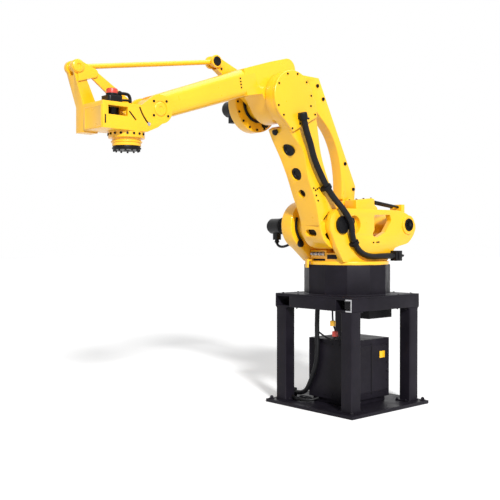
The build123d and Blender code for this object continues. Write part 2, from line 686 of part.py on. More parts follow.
# Elbow lever: hub round the elbow axis, rear arm with its pin, front arm with a clevis
with BuildPart() as elbow_lever:
    with BuildSketch(side_at(elbow, LEVER_NEAR)):
        Circle(LEVER_HUB_RADIUS)
    extrude(amount=LEVER_NEAR - LEVER_FAR)
    with BuildSketch(side_at(elbow, LEVER_PLATE_NEAR)):
        with BuildLine():
            Polyline((-34, 126), (LINK_BACK[0] - 30, LINK_BACK[1] + 55), (LINK_BACK[0] - 40, LINK_BACK[1] - 50), (-100, -76), close=True)
        make_face()
        with BuildLine():
            Polyline((-34, 126), (LINK_FRONT[0] - 20, LINK_FRONT[1] + 45), (LINK_FRONT[0] + 30, LINK_FRONT[1] - 30), (118, -47), close=True)
        make_face()
        with Locations(LINK_BACK):
            Circle(60)
    extrude(amount=LEVER_PLATE_NEAR - LEVER_PLATE_FAR)
    with BuildSketch(side_at(elbow, LEVER_NEAR)):
        with Locations(LINK_FRONT):
            Circle(52)
    extrude(amount=LEVER_NEAR - LEVER_FAR)
    with BuildSketch(side_at(elbow, ROD_PLANE + ROD_EYE_THICK / 2 + 5)):
        with Locations(LINK_FRONT):
            Circle(62)
            with Locations((60, 0)):
                Rectangle(120, 124)
    extrude(amount=ROD_EYE_THICK + 10, mode=Mode.SUBTRACT)
    with BuildSketch(side_at(elbow, LEVER_NEAR)):
        with Locations(LINK_FRONT):
            Circle(ROD_PIN)
    extrude(amount=LEVER_NEAR - LEVER_FAR)
    with BuildSketch(side_at(elbow, LINK_NEAR)):
        with Locations(LINK_BACK):
            Circle(LINK_PIN)
    extrude(amount=LINK_NEAR - LEVER_PLATE_NEAR)
    with BuildSketch(side_at(elbow, LEVER_NEAR)):
        Circle(ELBOW_BOSS_RADIUS + SHAFT_FIT)
    extrude(amount=LEVER_NEAR - LEVER_FAR, mode=Mode.SUBTRACT)
save(elbow_lever, "elbow_lever")

# Upper arm: elbow body, tapered tube and wrist tongue in one casting
with BuildPart() as upper_arm:
    with BuildSketch(side_at(elbow, ELBOW_BODY_NEAR, UPPER_ARM_ANGLE)) as elbow_body:
        with BuildLine():
            Polyline((-185, -20), (-172, 352), (120, 320), (420, 274), (420, 55), (250, 60), (170, -100), close=True)
        make_face()
        fillet(elbow_body.vertices().sort_by_distance((-172, 352))[0], 88)
        Circle(ELBOW_DISC_RADIUS)
    extrude(amount=ELBOW_BODY_NEAR + TUBE_REAR_HALF_WIDTH)
    tube_start = (elbow[0] + 300 * cos(radians(10)) + 180 * sin(radians(10)), elbow[1] - 300 * sin(radians(10)) + 180 * cos(radians(10)))
    tube_dir = (wrist[0] - tube_start[0] + 3, 0, wrist[1] + 20 - tube_start[1])
    with BuildSketch(Plane(origin=(tube_start[0], 0, tube_start[1]), x_dir=(0, 1, 0), z_dir=tube_dir)):
        RectangleRounded(2 * TUBE_REAR_HALF_WIDTH, 2 * TUBE_REAR_HALF_HEIGHT, 60)
    with BuildSketch(Plane(origin=(wrist[0], 0, wrist[1] + 15), x_dir=(0, 1, 0), z_dir=tube_dir)):
        RectangleRounded(2 * TUBE_FRONT_HALF_WIDTH, 2 * TUBE_FRONT_HALF_HEIGHT, 55)
    loft()
    with BuildSketch(side_at(wrist, TUBE_FRONT_HALF_WIDTH)):
        Circle(TUBE_FRONT_HALF_HEIGHT)
    extrude(amount=2 * TUBE_FRONT_HALF_WIDTH)
    with BuildSketch(side_at(wrist, WRIST_CHEEK_INNER + WRIST_CHEEK_THICK - 4)):
        Circle(WRIST_PIN)
    extrude(amount=2 * (WRIST_CHEEK_INNER + WRIST_CHEEK_THICK - 4))
    with BuildSketch(side_at(elbow, -TUBE_REAR_HALF_WIDTH)):
        Circle(ELBOW_BOSS_RADIUS)
    extrude(amount=-TUBE_REAR_HALF_WIDTH - ELBOW_DRIVE_NEAR)
    with BuildSketch(side_at(elbow, ELBOW_BODY_NEAR)):
        Circle(ELBOW_SHAFT + SHAFT_FIT)
    extrude(amount=100, mode=Mode.SUBTRACT)
save(upper_arm, "upper_arm")

elbow_drive = cross_pin(elbow, ELBOW_DRIVE_NEAR, ELBOW_DRIVE_FAR, ELBOW_DRIVE_RADIUS)
save(elbow_drive, "elbow_drive")
save(motor(elbow, ELBOW_DRIVE_FAR), "elbow_motor")
save(band(elbow, ELBOW_DRIVE_NEAR, ELBOW_BAND, 10, -127, -117, 194), "elbow_band")

# Level rod, from the lever's clevis to the wrist frame
rod_angle = UPPER_ARM_ANGLE
with BuildPart() as level_rod:
    for centre, bore in ((0, ROD_PIN + SHAFT_FIT), (UPPER_ARM_LENGTH, ROD_PIN + OPEN_FIT)):
        with BuildSketch(side_at(rod_rear, ROD_PLANE + ROD_EYE_THICK / 2, rod_angle)):
            with Locations((centre, 0)):
                Circle(ROD_EYE_RADIUS)
        extrude(amount=ROD_EYE_THICK)
    rod_dir = (cos(radians(rod_angle)), 0, sin(radians(rod_angle)))
    rod_plane = Plane(origin=(rod_rear[0], ROD_PLANE, rod_rear[1]), x_dir=(0, 1, 0), z_dir=rod_dir)
    with BuildSketch(rod_plane):
        Circle(ROD_RADIUS)
    extrude(amount=UPPER_ARM_LENGTH)
    for centre, bore in ((0, ROD_PIN + SHAFT_FIT), (UPPER_ARM_LENGTH, ROD_PIN + OPEN_FIT)):
        with BuildSketch(side_at(rod_rear, ROD_PLANE + ROD_EYE_THICK / 2, rod_angle)):
            with Locations((centre, 0)):
                Circle(bore)
        extrude(amount=ROD_EYE_THICK, mode=Mode.SUBTRACT)
save(level_rod, "level_rod")

# Wrist frame: two cheeks, gear case and top plate
wrist_outer = WRIST_CHEEK_INNER + WRIST_CHEEK_THICK
CASE_FLOOR = wrist[1] - 227
with BuildPart() as wrist_frame:
    for near_y in (wrist_outer, -WRIST_CHEEK_INNER):
        with BuildSketch(side_at(wrist, near_y)):
            with BuildLine():
                Polyline((-80, -61), (21, -138), (119, -182), (500, -182), (500, 12), (170, 12), (60, 95), close=True)
            make_face()
            Circle(WRIST_DISC)
            with Locations((370, -50)):
                Rectangle(165, 66, mode=Mode.SUBTRACT)
            Circle(WRIST_PIN + SHAFT_FIT, mode=Mode.SUBTRACT)
        extrude(amount=WRIST_CHEEK_THICK)
    with BuildSketch(Plane.XY.offset(CASE_FLOOR)):
        with Locations((flange_x, 0)):
            Circle(GEAR_RADIUS)
    extrude(amount=66)
    reducer_floor = flange_z + TOOL_FLANGE_THICK + SHAFT_FIT
    with BuildSketch(Plane.XY.offset(reducer_floor)):
        with Locations((flange_x, 0)):
            Circle(REDUCER_RADIUS)
    extrude(amount=CASE_FLOOR - reducer_floor)
    with BuildSketch(Plane.XY.offset(CASE_FLOOR + 45)):
        with Locations((wrist[0] + 310, 0)):
            Rectangle(380, 2 * WRIST_CHEEK_INNER)
    extrude(amount=90)
    with BuildSketch(Plane.XY.offset(wrist[1] - 14)):
        with Locations((wrist[0] + 350, 0)):
            Rectangle(300, 2 * WRIST_CHEEK_INNER)
        with Locations((wrist[0] + WRIST_MOTOR_FORWARD, 0)):
            Circle(WRIST_MOTOR_RADIUS + 3, mode=Mode.SUBTRACT)
    extrude(amount=26)
    with BuildSketch(side_at(wrist, wrist_outer)):
        with BuildLine():
            wrist_arc = ThreePointArc((184, -10), (150, -72), (105, -123))
        SlotArc(wrist_arc, 15)
        SlotCenterPoint((247, -75), (273, -48), 13)
    extrude(amount=WRIST_CHEEK_THICK - 8, mode=Mode.SUBTRACT)
save(wrist_frame, "wrist_frame")

# Front strut with the fork that takes the rod
STRUT_NEAR = ROD_PLANE + 61
STRUT_FAR = ROD_PLANE - 61
FORK_FIT = 5.0
LUG_SHIFT = (-130.0, -35.0)
apex = LINK_FRONT
lug = (apex[0] + LUG_SHIFT[0], apex[1] + LUG_SHIFT[1])
slot_near = ROD_PLANE + ROD_EYE_THICK / 2 + FORK_FIT
diagonal_outline = [(70, 50), (100, 92), (lug[0] - 4, lug[1] + 32), (lug[0] + 20, lug[1] - 28), (150, 10), (90, -10)]
with BuildSketch(side_at(wrist, -wrist_outer)) as diagonal_face:
    with BuildLine():
        Polyline(*diagonal_outline, close=True)
    make_face()
    with Locations(lug):
        Circle(34)
with BuildPart() as front_strut:
    with BuildSketch(side_at(wrist, -wrist_outer)):
        with BuildLine():
            Polyline((380, -190), (500, -190), (500, 0), (apex[0] + 42, apex[1]), (apex[0] - 38, apex[1]), (380, 0), close=True)
        make_face()
    extrude(amount=-wrist_outer - STRUT_FAR)
    with BuildSketch(side_at(wrist, STRUT_NEAR)):
        with Locations(apex):
            Circle(50)
        with Locations(lug):
            Circle(34)
        with BuildLine():
            Polyline((lug[0], lug[1] + 33), (apex[0], apex[1] + 50), (apex[0], apex[1] - 110), (lug[0], lug[1] - 33), close=True)
        make_face()
    extrude(amount=STRUT_NEAR - STRUT_FAR)
    with BuildSketch(side_at(wrist, slot_near)):
        with Locations((apex[0] - 70, apex[1] + 10)):
            Rectangle(300, 150)
    extrude(amount=ROD_EYE_THICK + 2 * FORK_FIT, mode=Mode.SUBTRACT)
    extrude(diagonal_face.sketch, amount=-wrist_outer - slot_near, mode=Mode.SUBTRACT)
    with BuildSketch(side_at(wrist, STRUT_NEAR)):
        with Locations(apex):
            Circle(ROD_PIN)
    extrude(amount=STRUT_NEAR - STRUT_FAR)
save(front_strut, "front_strut")

# Diagonal strut, a flat bar from the fork's lug down to the far cheek
with BuildPart() as diagonal_strut:
    extrude(diagonal_face.sketch, amount=-wrist_outer - slot_near)
save(diagonal_strut, "diagonal_strut")

# Wrist motor with its encoder cap
with BuildPart() as wrist_motor:
    with BuildSketch(Plane.XY.offset(CASE_FLOOR + 135)):
        with Locations((wrist[0] + WRIST_MOTOR_FORWARD, 0)):
            Circle(WRIST_MOTOR_RADIUS)
    extrude(amount=wrist[1] + 12 - CASE_FLOOR - 135)
    with BuildSketch(Plane.XY.offset(wrist[1] + 12)):
        with Locations((wrist[0] + WRIST_MOTOR_FORWARD, 0)):
            RectangleRounded(120, 120, 20)
    extrude(amount=58)
save(wrist_motor, "wrist_motor")
with BuildPart() as encoder_cap:
    with BuildSketch(Plane.XY.offset(wrist[1] + 70)):
        with Locations((wrist[0] + WRIST_MOTOR_FORWARD, 0)):
            Circle(42)
    extrude(amount=56)
save(encoder_cap, "encoder_cap")

# Tool flange that turns under the reducer
with BuildPart() as tool_flange:
    with BuildSketch(Plane.XY.offset(flange_z)):
        with Locations((flange_x, 0)):
            Circle(TOOL_FLANGE_RADIUS)
            Circle(TOOL_BORE, mode=Mode.SUBTRACT)
            with PolarLocations(TOOL_BOLT_CIRCLE / 2, TOOL_BOLTS):
                Circle(TOOL_BOLT_RADIUS, mode=Mode.SUBTRACT)
    extrude(amount=TOOL_FLANGE_THICK)
save(tool_flange, "tool_flange")



def tube(points, radius):
    """A hose along straight runs with tangent arcs at the corners."""
    stops = [Vector(*point) for point in points]
    with BuildPart() as piece:
        with BuildLine() as path:
            last = stops[0]
            for before, corner, after in zip(stops, stops[1:], stops[2:]):
                ahead = (corner - before).normalized()
                onward = (after - corner).normalized()
                reach = 0.45 * min((corner - before).length, (after - corner).length)
                half_turn = radians(ahead.get_angle(onward)) / 2
                bend = reach / tan(half_turn)
                toward_centre = (onward - ahead).normalized()
                middle = corner + toward_centre * (bend / cos(half_turn) - bend)
                Line(last, corner - ahead * reach)
                ThreePointArc(corner - ahead * reach, middle, corner + onward * reach)
                last = corner + onward * reach
            Line(last, stops[-1])
        with BuildSketch(Plane(stops[0], z_dir=stops[1] - stops[0])):
            Circle(radius)
        sweep()
    return piece


# Umbilical hose down the near side, from the elbow cover to the turntable
hose_stops = [Vector(*point) for point in HOSE_RUN]
save(tube(HOSE_RUN, HOSE_RADIUS), "umbilical_hose")



def clamp(stop, face_y):
    """A clamp on a side face: foot block and ring round the hose."""
    here = hose_stops[stop] * 0.52 + hose_stops[stop + 1] * 0.48
    across = Plane(here, x_dir=(0, 1, 0), z_dir=hose_stops[stop + 1] - hose_stops[stop])
    foot = here.Y - face_y
    with BuildPart() as clamp_piece:
        with BuildSketch(across):
            Circle(HOSE_RADIUS + 12)
            with Locations((-foot / 2, 0)):
                Rectangle(foot, 84)
            Circle(HOSE_RADIUS + HOSE_FIT, mode=Mode.SUBTRACT)
            with Locations((-foot - 50, 0)):
                Rectangle(100, 100, mode=Mode.SUBTRACT)
        extrude(amount=CLAMP_HALF, both=True)
    return clamp_piece.part


# On the lower arm: the gland where the hose starts, and the upper clamp
gland_dir = (hose_stops[0] - hose_stops[1]).normalized()
with BuildPart() as hose_gland:
    with BuildSketch(Plane(hose_stops[0], z_dir=gland_dir)):
        Circle(HOSE_RADIUS + 9)
    extrude(amount=64)
    fillet(hose_gland.edges().sort_by(Axis.Z)[-1], 12)
    with BuildSketch(side(HOSE_RUN[0][1])):
        with Locations((hose_stops[0].X + gland_dir.X * 34, hose_stops[0].Z + gland_dir.Z * 34)):
            Rectangle(52, 52)
    extrude(amount=HOSE_RUN[0][1] - ARM_NEAR - COVER_THICK)
    add(clamp(UPPER_CLAMP, ARM_NEAR))
save(hose_gland, "hose_gland")

# On the near cheek: the connector where the hose ends, and the lower clamp
with BuildPart() as hose_connector:
    with BuildSketch(side(HOSE_RUN[-1][1] + 34)):
        with Locations((HOSE_RUN[-1][0] - 46, HOSE_RUN[-1][2])):
            Rectangle(92, 96)
    extrude(amount=HOSE_RUN[-1][1] + 34 - cheek_near)
    add(clamp(LOWER_CLAMP, cheek_near))
save(hose_connector, "hose_connector")

# Cable bundle inside the stand, with its gland on the base plate; it moves with the frame's size
cable_shift = (FRAME_SIZE - CABLE_DRAWN_FRAME) / 2
cable_run = [(x + cable_shift, y, z) for x, y, z in CABLE_RUN]
with BuildPart() as stand_cables:
    add(tube(cable_run, CABLE_RADIUS).part)
    with BuildSketch(Plane.XY.offset(PLATE_THICK)):
        with Locations((cable_run[-1][0], cable_run[-1][1] - 26)):
            Rectangle(52, 60)
    extrude(amount=cable_run[-1][2] + 36 - PLATE_THICK)
save(stand_cables, "stand_cables")

print("axes", shoulder, elbow, wrist, "flange", flange_x, flange_z, "link reach", hypot(*LINK_BACK))
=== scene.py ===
# Floor-standing palletizing arm: finishes, castings with rounded edges, screws, hoses and studio
import json
import bpy
from math import atan2, cos, hypot, pi, radians, sin
from mathutils import Matrix, Vector
from bpy.props import FloatProperty, FloatVectorProperty, PointerProperty
from bpy.types import Operator, Panel, PropertyGroup


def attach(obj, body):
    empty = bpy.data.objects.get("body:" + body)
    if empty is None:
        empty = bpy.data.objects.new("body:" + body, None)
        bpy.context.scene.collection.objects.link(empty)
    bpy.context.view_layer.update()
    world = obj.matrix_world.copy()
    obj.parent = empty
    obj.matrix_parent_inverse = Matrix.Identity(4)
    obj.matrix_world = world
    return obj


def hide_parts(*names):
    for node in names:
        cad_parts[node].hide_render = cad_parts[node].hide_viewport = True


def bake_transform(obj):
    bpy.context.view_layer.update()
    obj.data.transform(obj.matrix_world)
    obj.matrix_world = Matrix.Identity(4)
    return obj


bl_info = {
    "name": "Palletizing Arm",
    "version": (1, 0, 0),
    "blender": (4, 5, 0),
    "location": "3D View > Sidebar > Arm",
    "description": "Builds the finished palletizing arm around its frame",
    "category": "Object",
}

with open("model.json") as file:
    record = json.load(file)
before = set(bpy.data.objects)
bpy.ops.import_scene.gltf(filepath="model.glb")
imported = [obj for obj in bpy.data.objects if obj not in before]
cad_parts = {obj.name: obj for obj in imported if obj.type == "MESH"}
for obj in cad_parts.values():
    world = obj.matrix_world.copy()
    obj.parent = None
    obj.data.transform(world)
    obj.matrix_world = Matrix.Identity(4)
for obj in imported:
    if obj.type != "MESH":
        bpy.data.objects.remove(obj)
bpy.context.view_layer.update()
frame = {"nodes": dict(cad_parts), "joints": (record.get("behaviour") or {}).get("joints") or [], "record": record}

JOINTS = {joint["name"]: joint for joint in frame["joints"]}
SLOT_OF = {part["node"]: part["material_slot"] for part in frame["record"]["subparts"]}
BODY_OF = {
    node: body
    for body, nodes in frame["record"]["behaviour"]["bodies"].items()
    for node in nodes
}
SHOULDER = Vector(JOINTS["shoulder"]["pos_m"])
ELBOW = Vector(JOINTS["elbow"]["pos_m"])
WRIST = Vector(JOINTS["wrist_level"]["pos_m"])
TOOL = Vector(JOINTS["tool_turn"]["pos_m"])
FORWARD = Vector((1, 0, 0))
LEFT = Vector((0, 1, 0))
UP = Vector((0, 0, 1))
LEAN = atan2(ELBOW.x - SHOULDER.x, ELBOW.z - SHOULDER.z)
DROP = atan2(ELBOW.z - WRIST.z, WRIST.x - ELBOW.x)
ARM_UP = Vector((sin(LEAN), 0, cos(LEAN)))
ARM_AHEAD = Vector((cos(LEAN), 0, -sin(LEAN)))
TUBE_AHEAD = Vector((cos(DROP), 0, -sin(DROP)))
TUBE_UP = Vector((sin(DROP), 0, cos(DROP)))
LINK_FOOT = Vector(JOINTS["rear_link_foot"]["pos_m"])
ROD_REAR = Vector(JOINTS["rod_rear"]["pos_m"])
ARM_LENGTH = (ELBOW - SHOULDER).length

# Faces that small pieces stand on, counted to the left of the middle plane
BEARING_CAP_FACE = 0.290
COVER_FACE = 0.235
ARM_FACE = 0.205
POCKET_FLOOR = 0.175
TUBE_FACE = 0.111
LEVER_FACE = -0.150
SHOULDER_DRIVE_NEAR = -0.150
SHOULDER_DRIVE_FAR = -0.290
ELBOW_DRIVE_NEAR = -0.240
ELBOW_DRIVE_FAR = -0.345
MOTOR_END = -0.650
WRIST_CHEEK_FACE = 0.134
WRIST_PIN_END = 0.130
CABINET_SIDE = 0.300
DOOR_FACE = 0.306

# Faces that look ahead, counted from the swivel axis
CABINET_FRONT = 0.300
APRON_FACE = 0.345
WRIST_FRONT = WRIST.x + 0.500

# Heights above the floor
PLATE_TOP = 0.030
FOOT_PAD_TOP = 0.040
HEAD_PAD_UNDERSIDE = 0.905
POST_TOP = 0.911
DECK_TOP = 1.041
APRON_TOP = 1.3473
HOSE_END = 1.396

# Distances of anchors and posts from the swivel axis along each side, and the signs of the four corners
ANCHOR = 0.505
POST = 0.399
QUARTERS = ((1, 1), (1, -1), (-1, 1), (-1, -1))

# Edges sharper than this are rounded, in degrees
CAST_EDGE = 38
MADE_EDGE = 40

# Edges flatter than this are shaded smooth, in degrees
CAST_SMOOTH = 42
PEDESTAL_SMOOTH = 26
HOSE_SMOOTH = 50


class ArmFinish(PropertyGroup):
    """Colours of the finishes and the radius of the castings' edges"""

    yellow: FloatVectorProperty(
        name="Yellow paint",
        description="Base colour of the castings",
        subtype="COLOR",
        size=3,
        min=0,
        max=1,
        default=(0.92, 0.495, 0.011),
    )
    charcoal: FloatVectorProperty(
        name="Charcoal paint",
        description="Base colour of the stand",
        subtype="COLOR",
        size=3,
        min=0,
        max=1,
        default=(0.0090, 0.0076, 0.0115),
    )
    black: FloatVectorProperty(
        name="Black paint",
        description="Base colour of motors and covers",
        subtype="COLOR",
        size=3,
        min=0,
        max=1,
        default=(0.0036, 0.0036, 0.0043),
    )
    red: FloatVectorProperty(
        name="Red plastic",
        description="Base colour of the encoder cap",
        subtype="COLOR",
        size=3,
        min=0,
        max=1,
        default=(0.62, 0.055, 0.035),
    )
    edge: FloatProperty(
        name="Edge radius",
        description="Rounding of the castings' edges",
        subtype="DISTANCE",
        default=0.007,
        min=0.001,
        max=0.02,
    )


class ArmStage(PropertyGroup):
    """Camera and light"""

    eye: FloatVectorProperty(
        name="Camera place",
        description="Where the camera stands",
        subtype="XYZ",
        unit="LENGTH",
        size=3,
        default=(5.729, 5.074, 1.534),
    )
    heading: FloatProperty(
        name="Camera heading",
        description="Direction the camera looks, counted from forward towards left",
        subtype="ANGLE",
        default=radians(-131.56),
    )
    pitch: FloatProperty(
        name="Camera pitch",
        description="Upward tilt of the camera",
        subtype="ANGLE",
        default=radians(-0.63),
    )
    lens: FloatProperty(
        name="Focal length",
        description="Focal length in millimetres on a 36 mm sensor",
        default=57.6,
        min=10,
    )
    key: FloatProperty(
        name="Key lamp",
        description="Strength of the key lamp",
        default=4.1,
        min=0,
    )
    fill: FloatProperty(
        name="Surrounding light",
        description="Strength of the even light from all sides",
        default=0.27,
        min=0,
    )


def link(tree, source, output, target, socket):
    """Joins one node's output to another node's input."""
    tree.links.new(source.outputs[output], target.inputs[socket])


def new_material(name):
    """A node material with its shader and object coordinates."""
    material = bpy.data.materials.new(name)
    material.use_nodes = True
    tree = material.node_tree
    shader = tree.nodes["Principled BSDF"]
    place = tree.nodes.new("ShaderNodeTexCoord")
    return material, tree, shader, place


def noise(tree, place, scale, detail=3.0):
    """Noise on object coordinates."""
    node = tree.nodes.new("ShaderNodeTexNoise")
    node.inputs["Scale"].default_value = scale
    node.inputs["Detail"].default_value = detail
    link(tree, place, "Object", node, "Vector")
    return node


def mottle(tree, pattern, shader, light, dark):
    """Varies the base colour between two tones with a pattern."""
    ramp = tree.nodes.new("ShaderNodeValToRGB")
    for stop, position, tone in zip(ramp.color_ramp.elements, (0.35, 0.65), (dark, light)):
        stop.position = position
        stop.color = (*tone, 1)
    link(tree, pattern, "Fac", ramp, "Fac")
    link(tree, ramp, "Color", shader, "Base Color")


def vary_roughness(tree, pattern, shader, low, high):
    """Varies the roughness between two values with a pattern."""
    span = tree.nodes.new("ShaderNodeMapRange")
    span.inputs["From Min"].default_value = 0.3
    span.inputs["From Max"].default_value = 0.7
    span.inputs["To Min"].default_value = low
    span.inputs["To Max"].default_value = high
    link(tree, pattern, "Fac", span, "Value")
    link(tree, span, "Result", shader, "Roughness")


def relief(tree, pattern, shader, distance, strength):
    """Bumps the surface with a pattern, to a depth in metres."""
    bump = tree.nodes.new("ShaderNodeBump")
    bump.inputs["Strength"].default_value = strength
    bump.inputs["Distance"].default_value = distance
    link(tree, pattern, "Fac", bump, "Height")
    link(tree, bump, "Normal", shader, "Normal")


def scaled(colour, factor):
    """A colour made lighter or darker."""
    return tuple(min(1.0, channel * factor) for channel in colour)


def yellow_paint(finish):
    """Semi-gloss enamel over castings, with a faint orange peel and uneven film."""
    material, tree, shader, place = new_material("yellow_enamel")
    film = noise(tree, place, 2.2, 4.0)
    warm = [channel * share for channel, share in zip(finish.yellow, (0.97, 0.93, 0.8))]
    mottle(tree, film, shader, tuple(finish.yellow), warm)
    vary_roughness(tree, noise(tree, place, 14.0), shader, 0.27, 0.36)
    relief(tree, noise(tree, place, 130.0, 2.0), shader, 0.00035, 0.5)
    shader.inputs["Coat Weight"].default_value = 0.25
    shader.inputs["Coat Roughness"].default_value = 0.12
    return material


def charcoal_paint(finish):
    """Textured satin powder coat of the stand."""
    material, tree, shader, place = new_material("charcoal_powder_coat")
    light = scaled(finish.charcoal, 1.25)
    dark = scaled(finish.charcoal, 0.8)
    mottle(tree, noise(tree, place, 5.0, 5.0), shader, light, dark)
    vary_roughness(tree, noise(tree, place, 9.0, 4.0), shader, 0.36, 0.52)
    relief(tree, noise(tree, place, 320.0, 2.0), shader, 0.0004, 0.55)
    shader.inputs["Specular IOR Level"].default_value = 0.11
    return material


def black_paint(finish):
    """Satin black of motor housings."""
    material, tree, shader, place = new_material("black_motor_paint")
    mottle(tree, noise(tree, place, 12.0), shader, scaled(finish.black, 1.3), finish.black)
    vary_roughness(tree, noise(tree, place, 25.0), shader, 0.30, 0.42)
    relief(tree, noise(tree, place, 260.0, 2.0), shader, 0.0003, 0.4)
    shader.inputs["Specular IOR Level"].default_value = 0.2
    return material


def black_rubber(finish):
    """Hose rubber, slightly dusty."""
    material, tree, shader, place = new_material("hose_rubber")
    mottle(tree, noise(tree, place, 30.0, 4.0), shader, scaled(finish.black, 1.7), finish.black)
    vary_roughness(tree, noise(tree, place, 45.0), shader, 0.38, 0.55)
    relief(tree, noise(tree, place, 420.0), shader, 0.0002, 0.4)
    shader.inputs["Specular IOR Level"].default_value = 0.2
    return material


def black_plastic(finish):
    """Moulded matt plastic of knobs, plugs and connectors."""
    material, tree, shader, place = new_material("moulded_black_plastic")
    mottle(tree, noise(tree, place, 18.0), shader, scaled(finish.black, 1.5), finish.black)
    vary_roughness(tree, noise(tree, place, 60.0), shader, 0.42, 0.55)
    relief(tree, noise(tree, place, 700.0), shader, 0.00015, 0.5)
    shader.inputs["Specular IOR Level"].default_value = 0.16
    return material


def red_plastic(finish):
    """Glossy moulded red of the encoder cap."""
    material, tree, shader, place = new_material("red_cap_plastic")
    mottle(tree, noise(tree, place, 20.0), shader, tuple(finish.red), scaled(finish.red, 0.85))
    vary_roughness(tree, noise(tree, place, 40.0), shader, 0.28, 0.38)
    relief(tree, noise(tree, place, 500.0), shader, 0.00012, 0.4)
    return material


def bare_steel(finish):
    """Machined steel with fine turning marks."""
    material, tree, shader, place = new_material("machined_steel")
    grain = noise(tree, place, 90.0, 5.0)
    mottle(tree, grain, shader, (0.62, 0.62, 0.63), (0.42, 0.42, 0.44))
    vary_roughness(tree, grain, shader, 0.24, 0.40)
    relief(tree, grain, shader, 0.00015, 0.5)
    shader.inputs["Metallic"].default_value = 1.0
    return material


FINISH_MAKERS = {
    "yellow_paint": yellow_paint,
    "charcoal_paint": charcoal_paint,
    "black_paint": black_paint,
    "black_rubber": black_rubber,
    "black_plastic": black_plastic,
    "red_plastic": red_plastic,
    "bare_steel": bare_steel,
}
FINISH_NAMES = {
    "yellow_paint": "yellow_enamel",
    "charcoal_paint": "charcoal_powder_coat",
    "black_paint": "black_motor_paint",
    "black_rubber": "hose_rubber",
    "black_plastic": "moulded_black_plastic",
    "red_plastic": "red_cap_plastic",
    "bare_steel": "machined_steel",
}


def finish_of(slot):
    """The material that stands for a slot of the record."""
    return bpy.data.materials[FINISH_NAMES[slot]]


def deselect():
    """Leaves edit mode with nothing selected."""
    if bpy.context.object and bpy.context.object.mode != "OBJECT":
        bpy.ops.object.mode_set(mode="OBJECT")
    bpy.ops.object.select_all(action="DESELECT")


def activate(piece):
    """Selects one object alone."""
    deselect()
    piece.select_set(True)
    bpy.context.view_layer.objects.active = piece


def apply_modifier(piece, kind, **values):
    """Adds a modifier with these values and applies it."""
    activate(piece)
    modifier = piece.modifiers.new(kind.lower(), kind)
    for name, value in values.items():
        setattr(modifier, name, value)
    bpy.ops.object.modifier_apply(modifier=modifier.name)


def settle(piece, slot, body, smooth_angle=35.0):
    """Puts a finished piece's place into its mesh, paints it and makes it ride on its body."""
    activate(piece)
    bpy.ops.object.transform_apply(location=True, rotation=True, scale=True)
    bpy.ops.object.shade_smooth_by_angle(angle=radians(smooth_angle))
    piece.data.materials.clear()
    piece.data.materials.append(finish_of(slot))
    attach(piece, body)
    deselect()


def soften(node, radius):
    """A copy of a frame piece with its edges rounded, which stands for it."""
    source = frame["nodes"][node]
    piece = bpy.data.objects.new(node + "_finished", source.data.copy())
    bpy.context.collection.objects.link(piece)
    activate(piece)
    bpy.ops.mesh.customdata_custom_splitnormals_clear()
    bpy.ops.object.mode_set(mode="EDIT")
    bpy.ops.mesh.select_all(action="SELECT")
    same_place = 0.00005
    bpy.ops.mesh.remove_doubles(threshold=same_place)
    same_plane = radians(0.5)
    bpy.ops.mesh.dissolve_limited(angle_limit=same_plane)
    bpy.ops.object.mode_set(mode="OBJECT")
    apply_modifier(
        piece,
        "BEVEL",
        width=radius,
        segments=3,
        limit_method="ANGLE",
        angle_limit=radians(CAST_EDGE),
        use_clamp_overlap=True,
        miter_outer="MITER_ARC",
    )
    smooth_angle = PEDESTAL_SMOOTH if node == "riser_pedestal" else CAST_SMOOTH
    settle(piece, SLOT_OF[node], BODY_OF[node], smooth_angle)
    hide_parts(node)


class ARM_OT_finishes(Operator):
    """Make the paints, rubber, plastics and steel, and paint the frame with them"""

    bl_idname = "arm.finishes"
    bl_label = "Finishes"

    def execute(self, context):
        finish = context.scene.arm_finish
        for maker in FINISH_MAKERS.values():
            maker(finish)
        for node, piece in frame["nodes"].items():
            material = finish_of(SLOT_OF[node])
            if not piece.material_slots:
                piece.data.materials.append(material)
            for slot in piece.material_slots:
                slot.material = material
        return {"FINISHED"}


class ARM_OT_castings(Operator):
    """Round the edges of every frame piece but the hoses"""

    bl_idname = "arm.castings"
    bl_label = "Castings"

    def execute(self, context):
        cast_radius = context.scene.arm_finish.edge
        made_radius = cast_radius * 0.5
        for node in sorted(frame["nodes"]):
            if SLOT_OF[node] == "black_rubber":
                continue
            soften(node, cast_radius if SLOT_OF[node] == "yellow_paint" else made_radius)
        return {"FINISHED"}


def select_faces(piece, test):
    """Goes to edit mode with the faces that pass a test selected."""
    activate(piece)
    bpy.ops.object.mode_set(mode="EDIT")
    bpy.ops.mesh.select_mode(type="FACE")
    bpy.ops.mesh.select_all(action="DESELECT")
    bpy.ops.object.mode_set(mode="OBJECT")
    for face in piece.data.polygons:
        face.select = test(face)
    bpy.ops.object.mode_set(mode="EDIT")


def faces_up(face):
    """Whether a face looks up."""
    return face.normal.z > 0.9


def push(distance):
    """Extrudes the selected faces along Z."""
    bpy.ops.mesh.extrude_region_move(TRANSFORM_OT_translate={"value": (0, 0, distance)})


def chamfered(piece, width):
    """Rounds a piece's sharp edges."""
    angle = radians(MADE_EDGE)
    apply_modifier(piece, "BEVEL", width=width, segments=2, limit_method="ANGLE", angle_limit=angle)


def cylinder(sides, radius, height, middle):
    """A cylinder on Z with its middle at this height."""
    bpy.ops.mesh.primitive_cylinder_add(vertices=sides, radius=radius, depth=height, location=(0, 0, middle))
    bpy.ops.object.transform_apply(location=True)
    return bpy.context.object


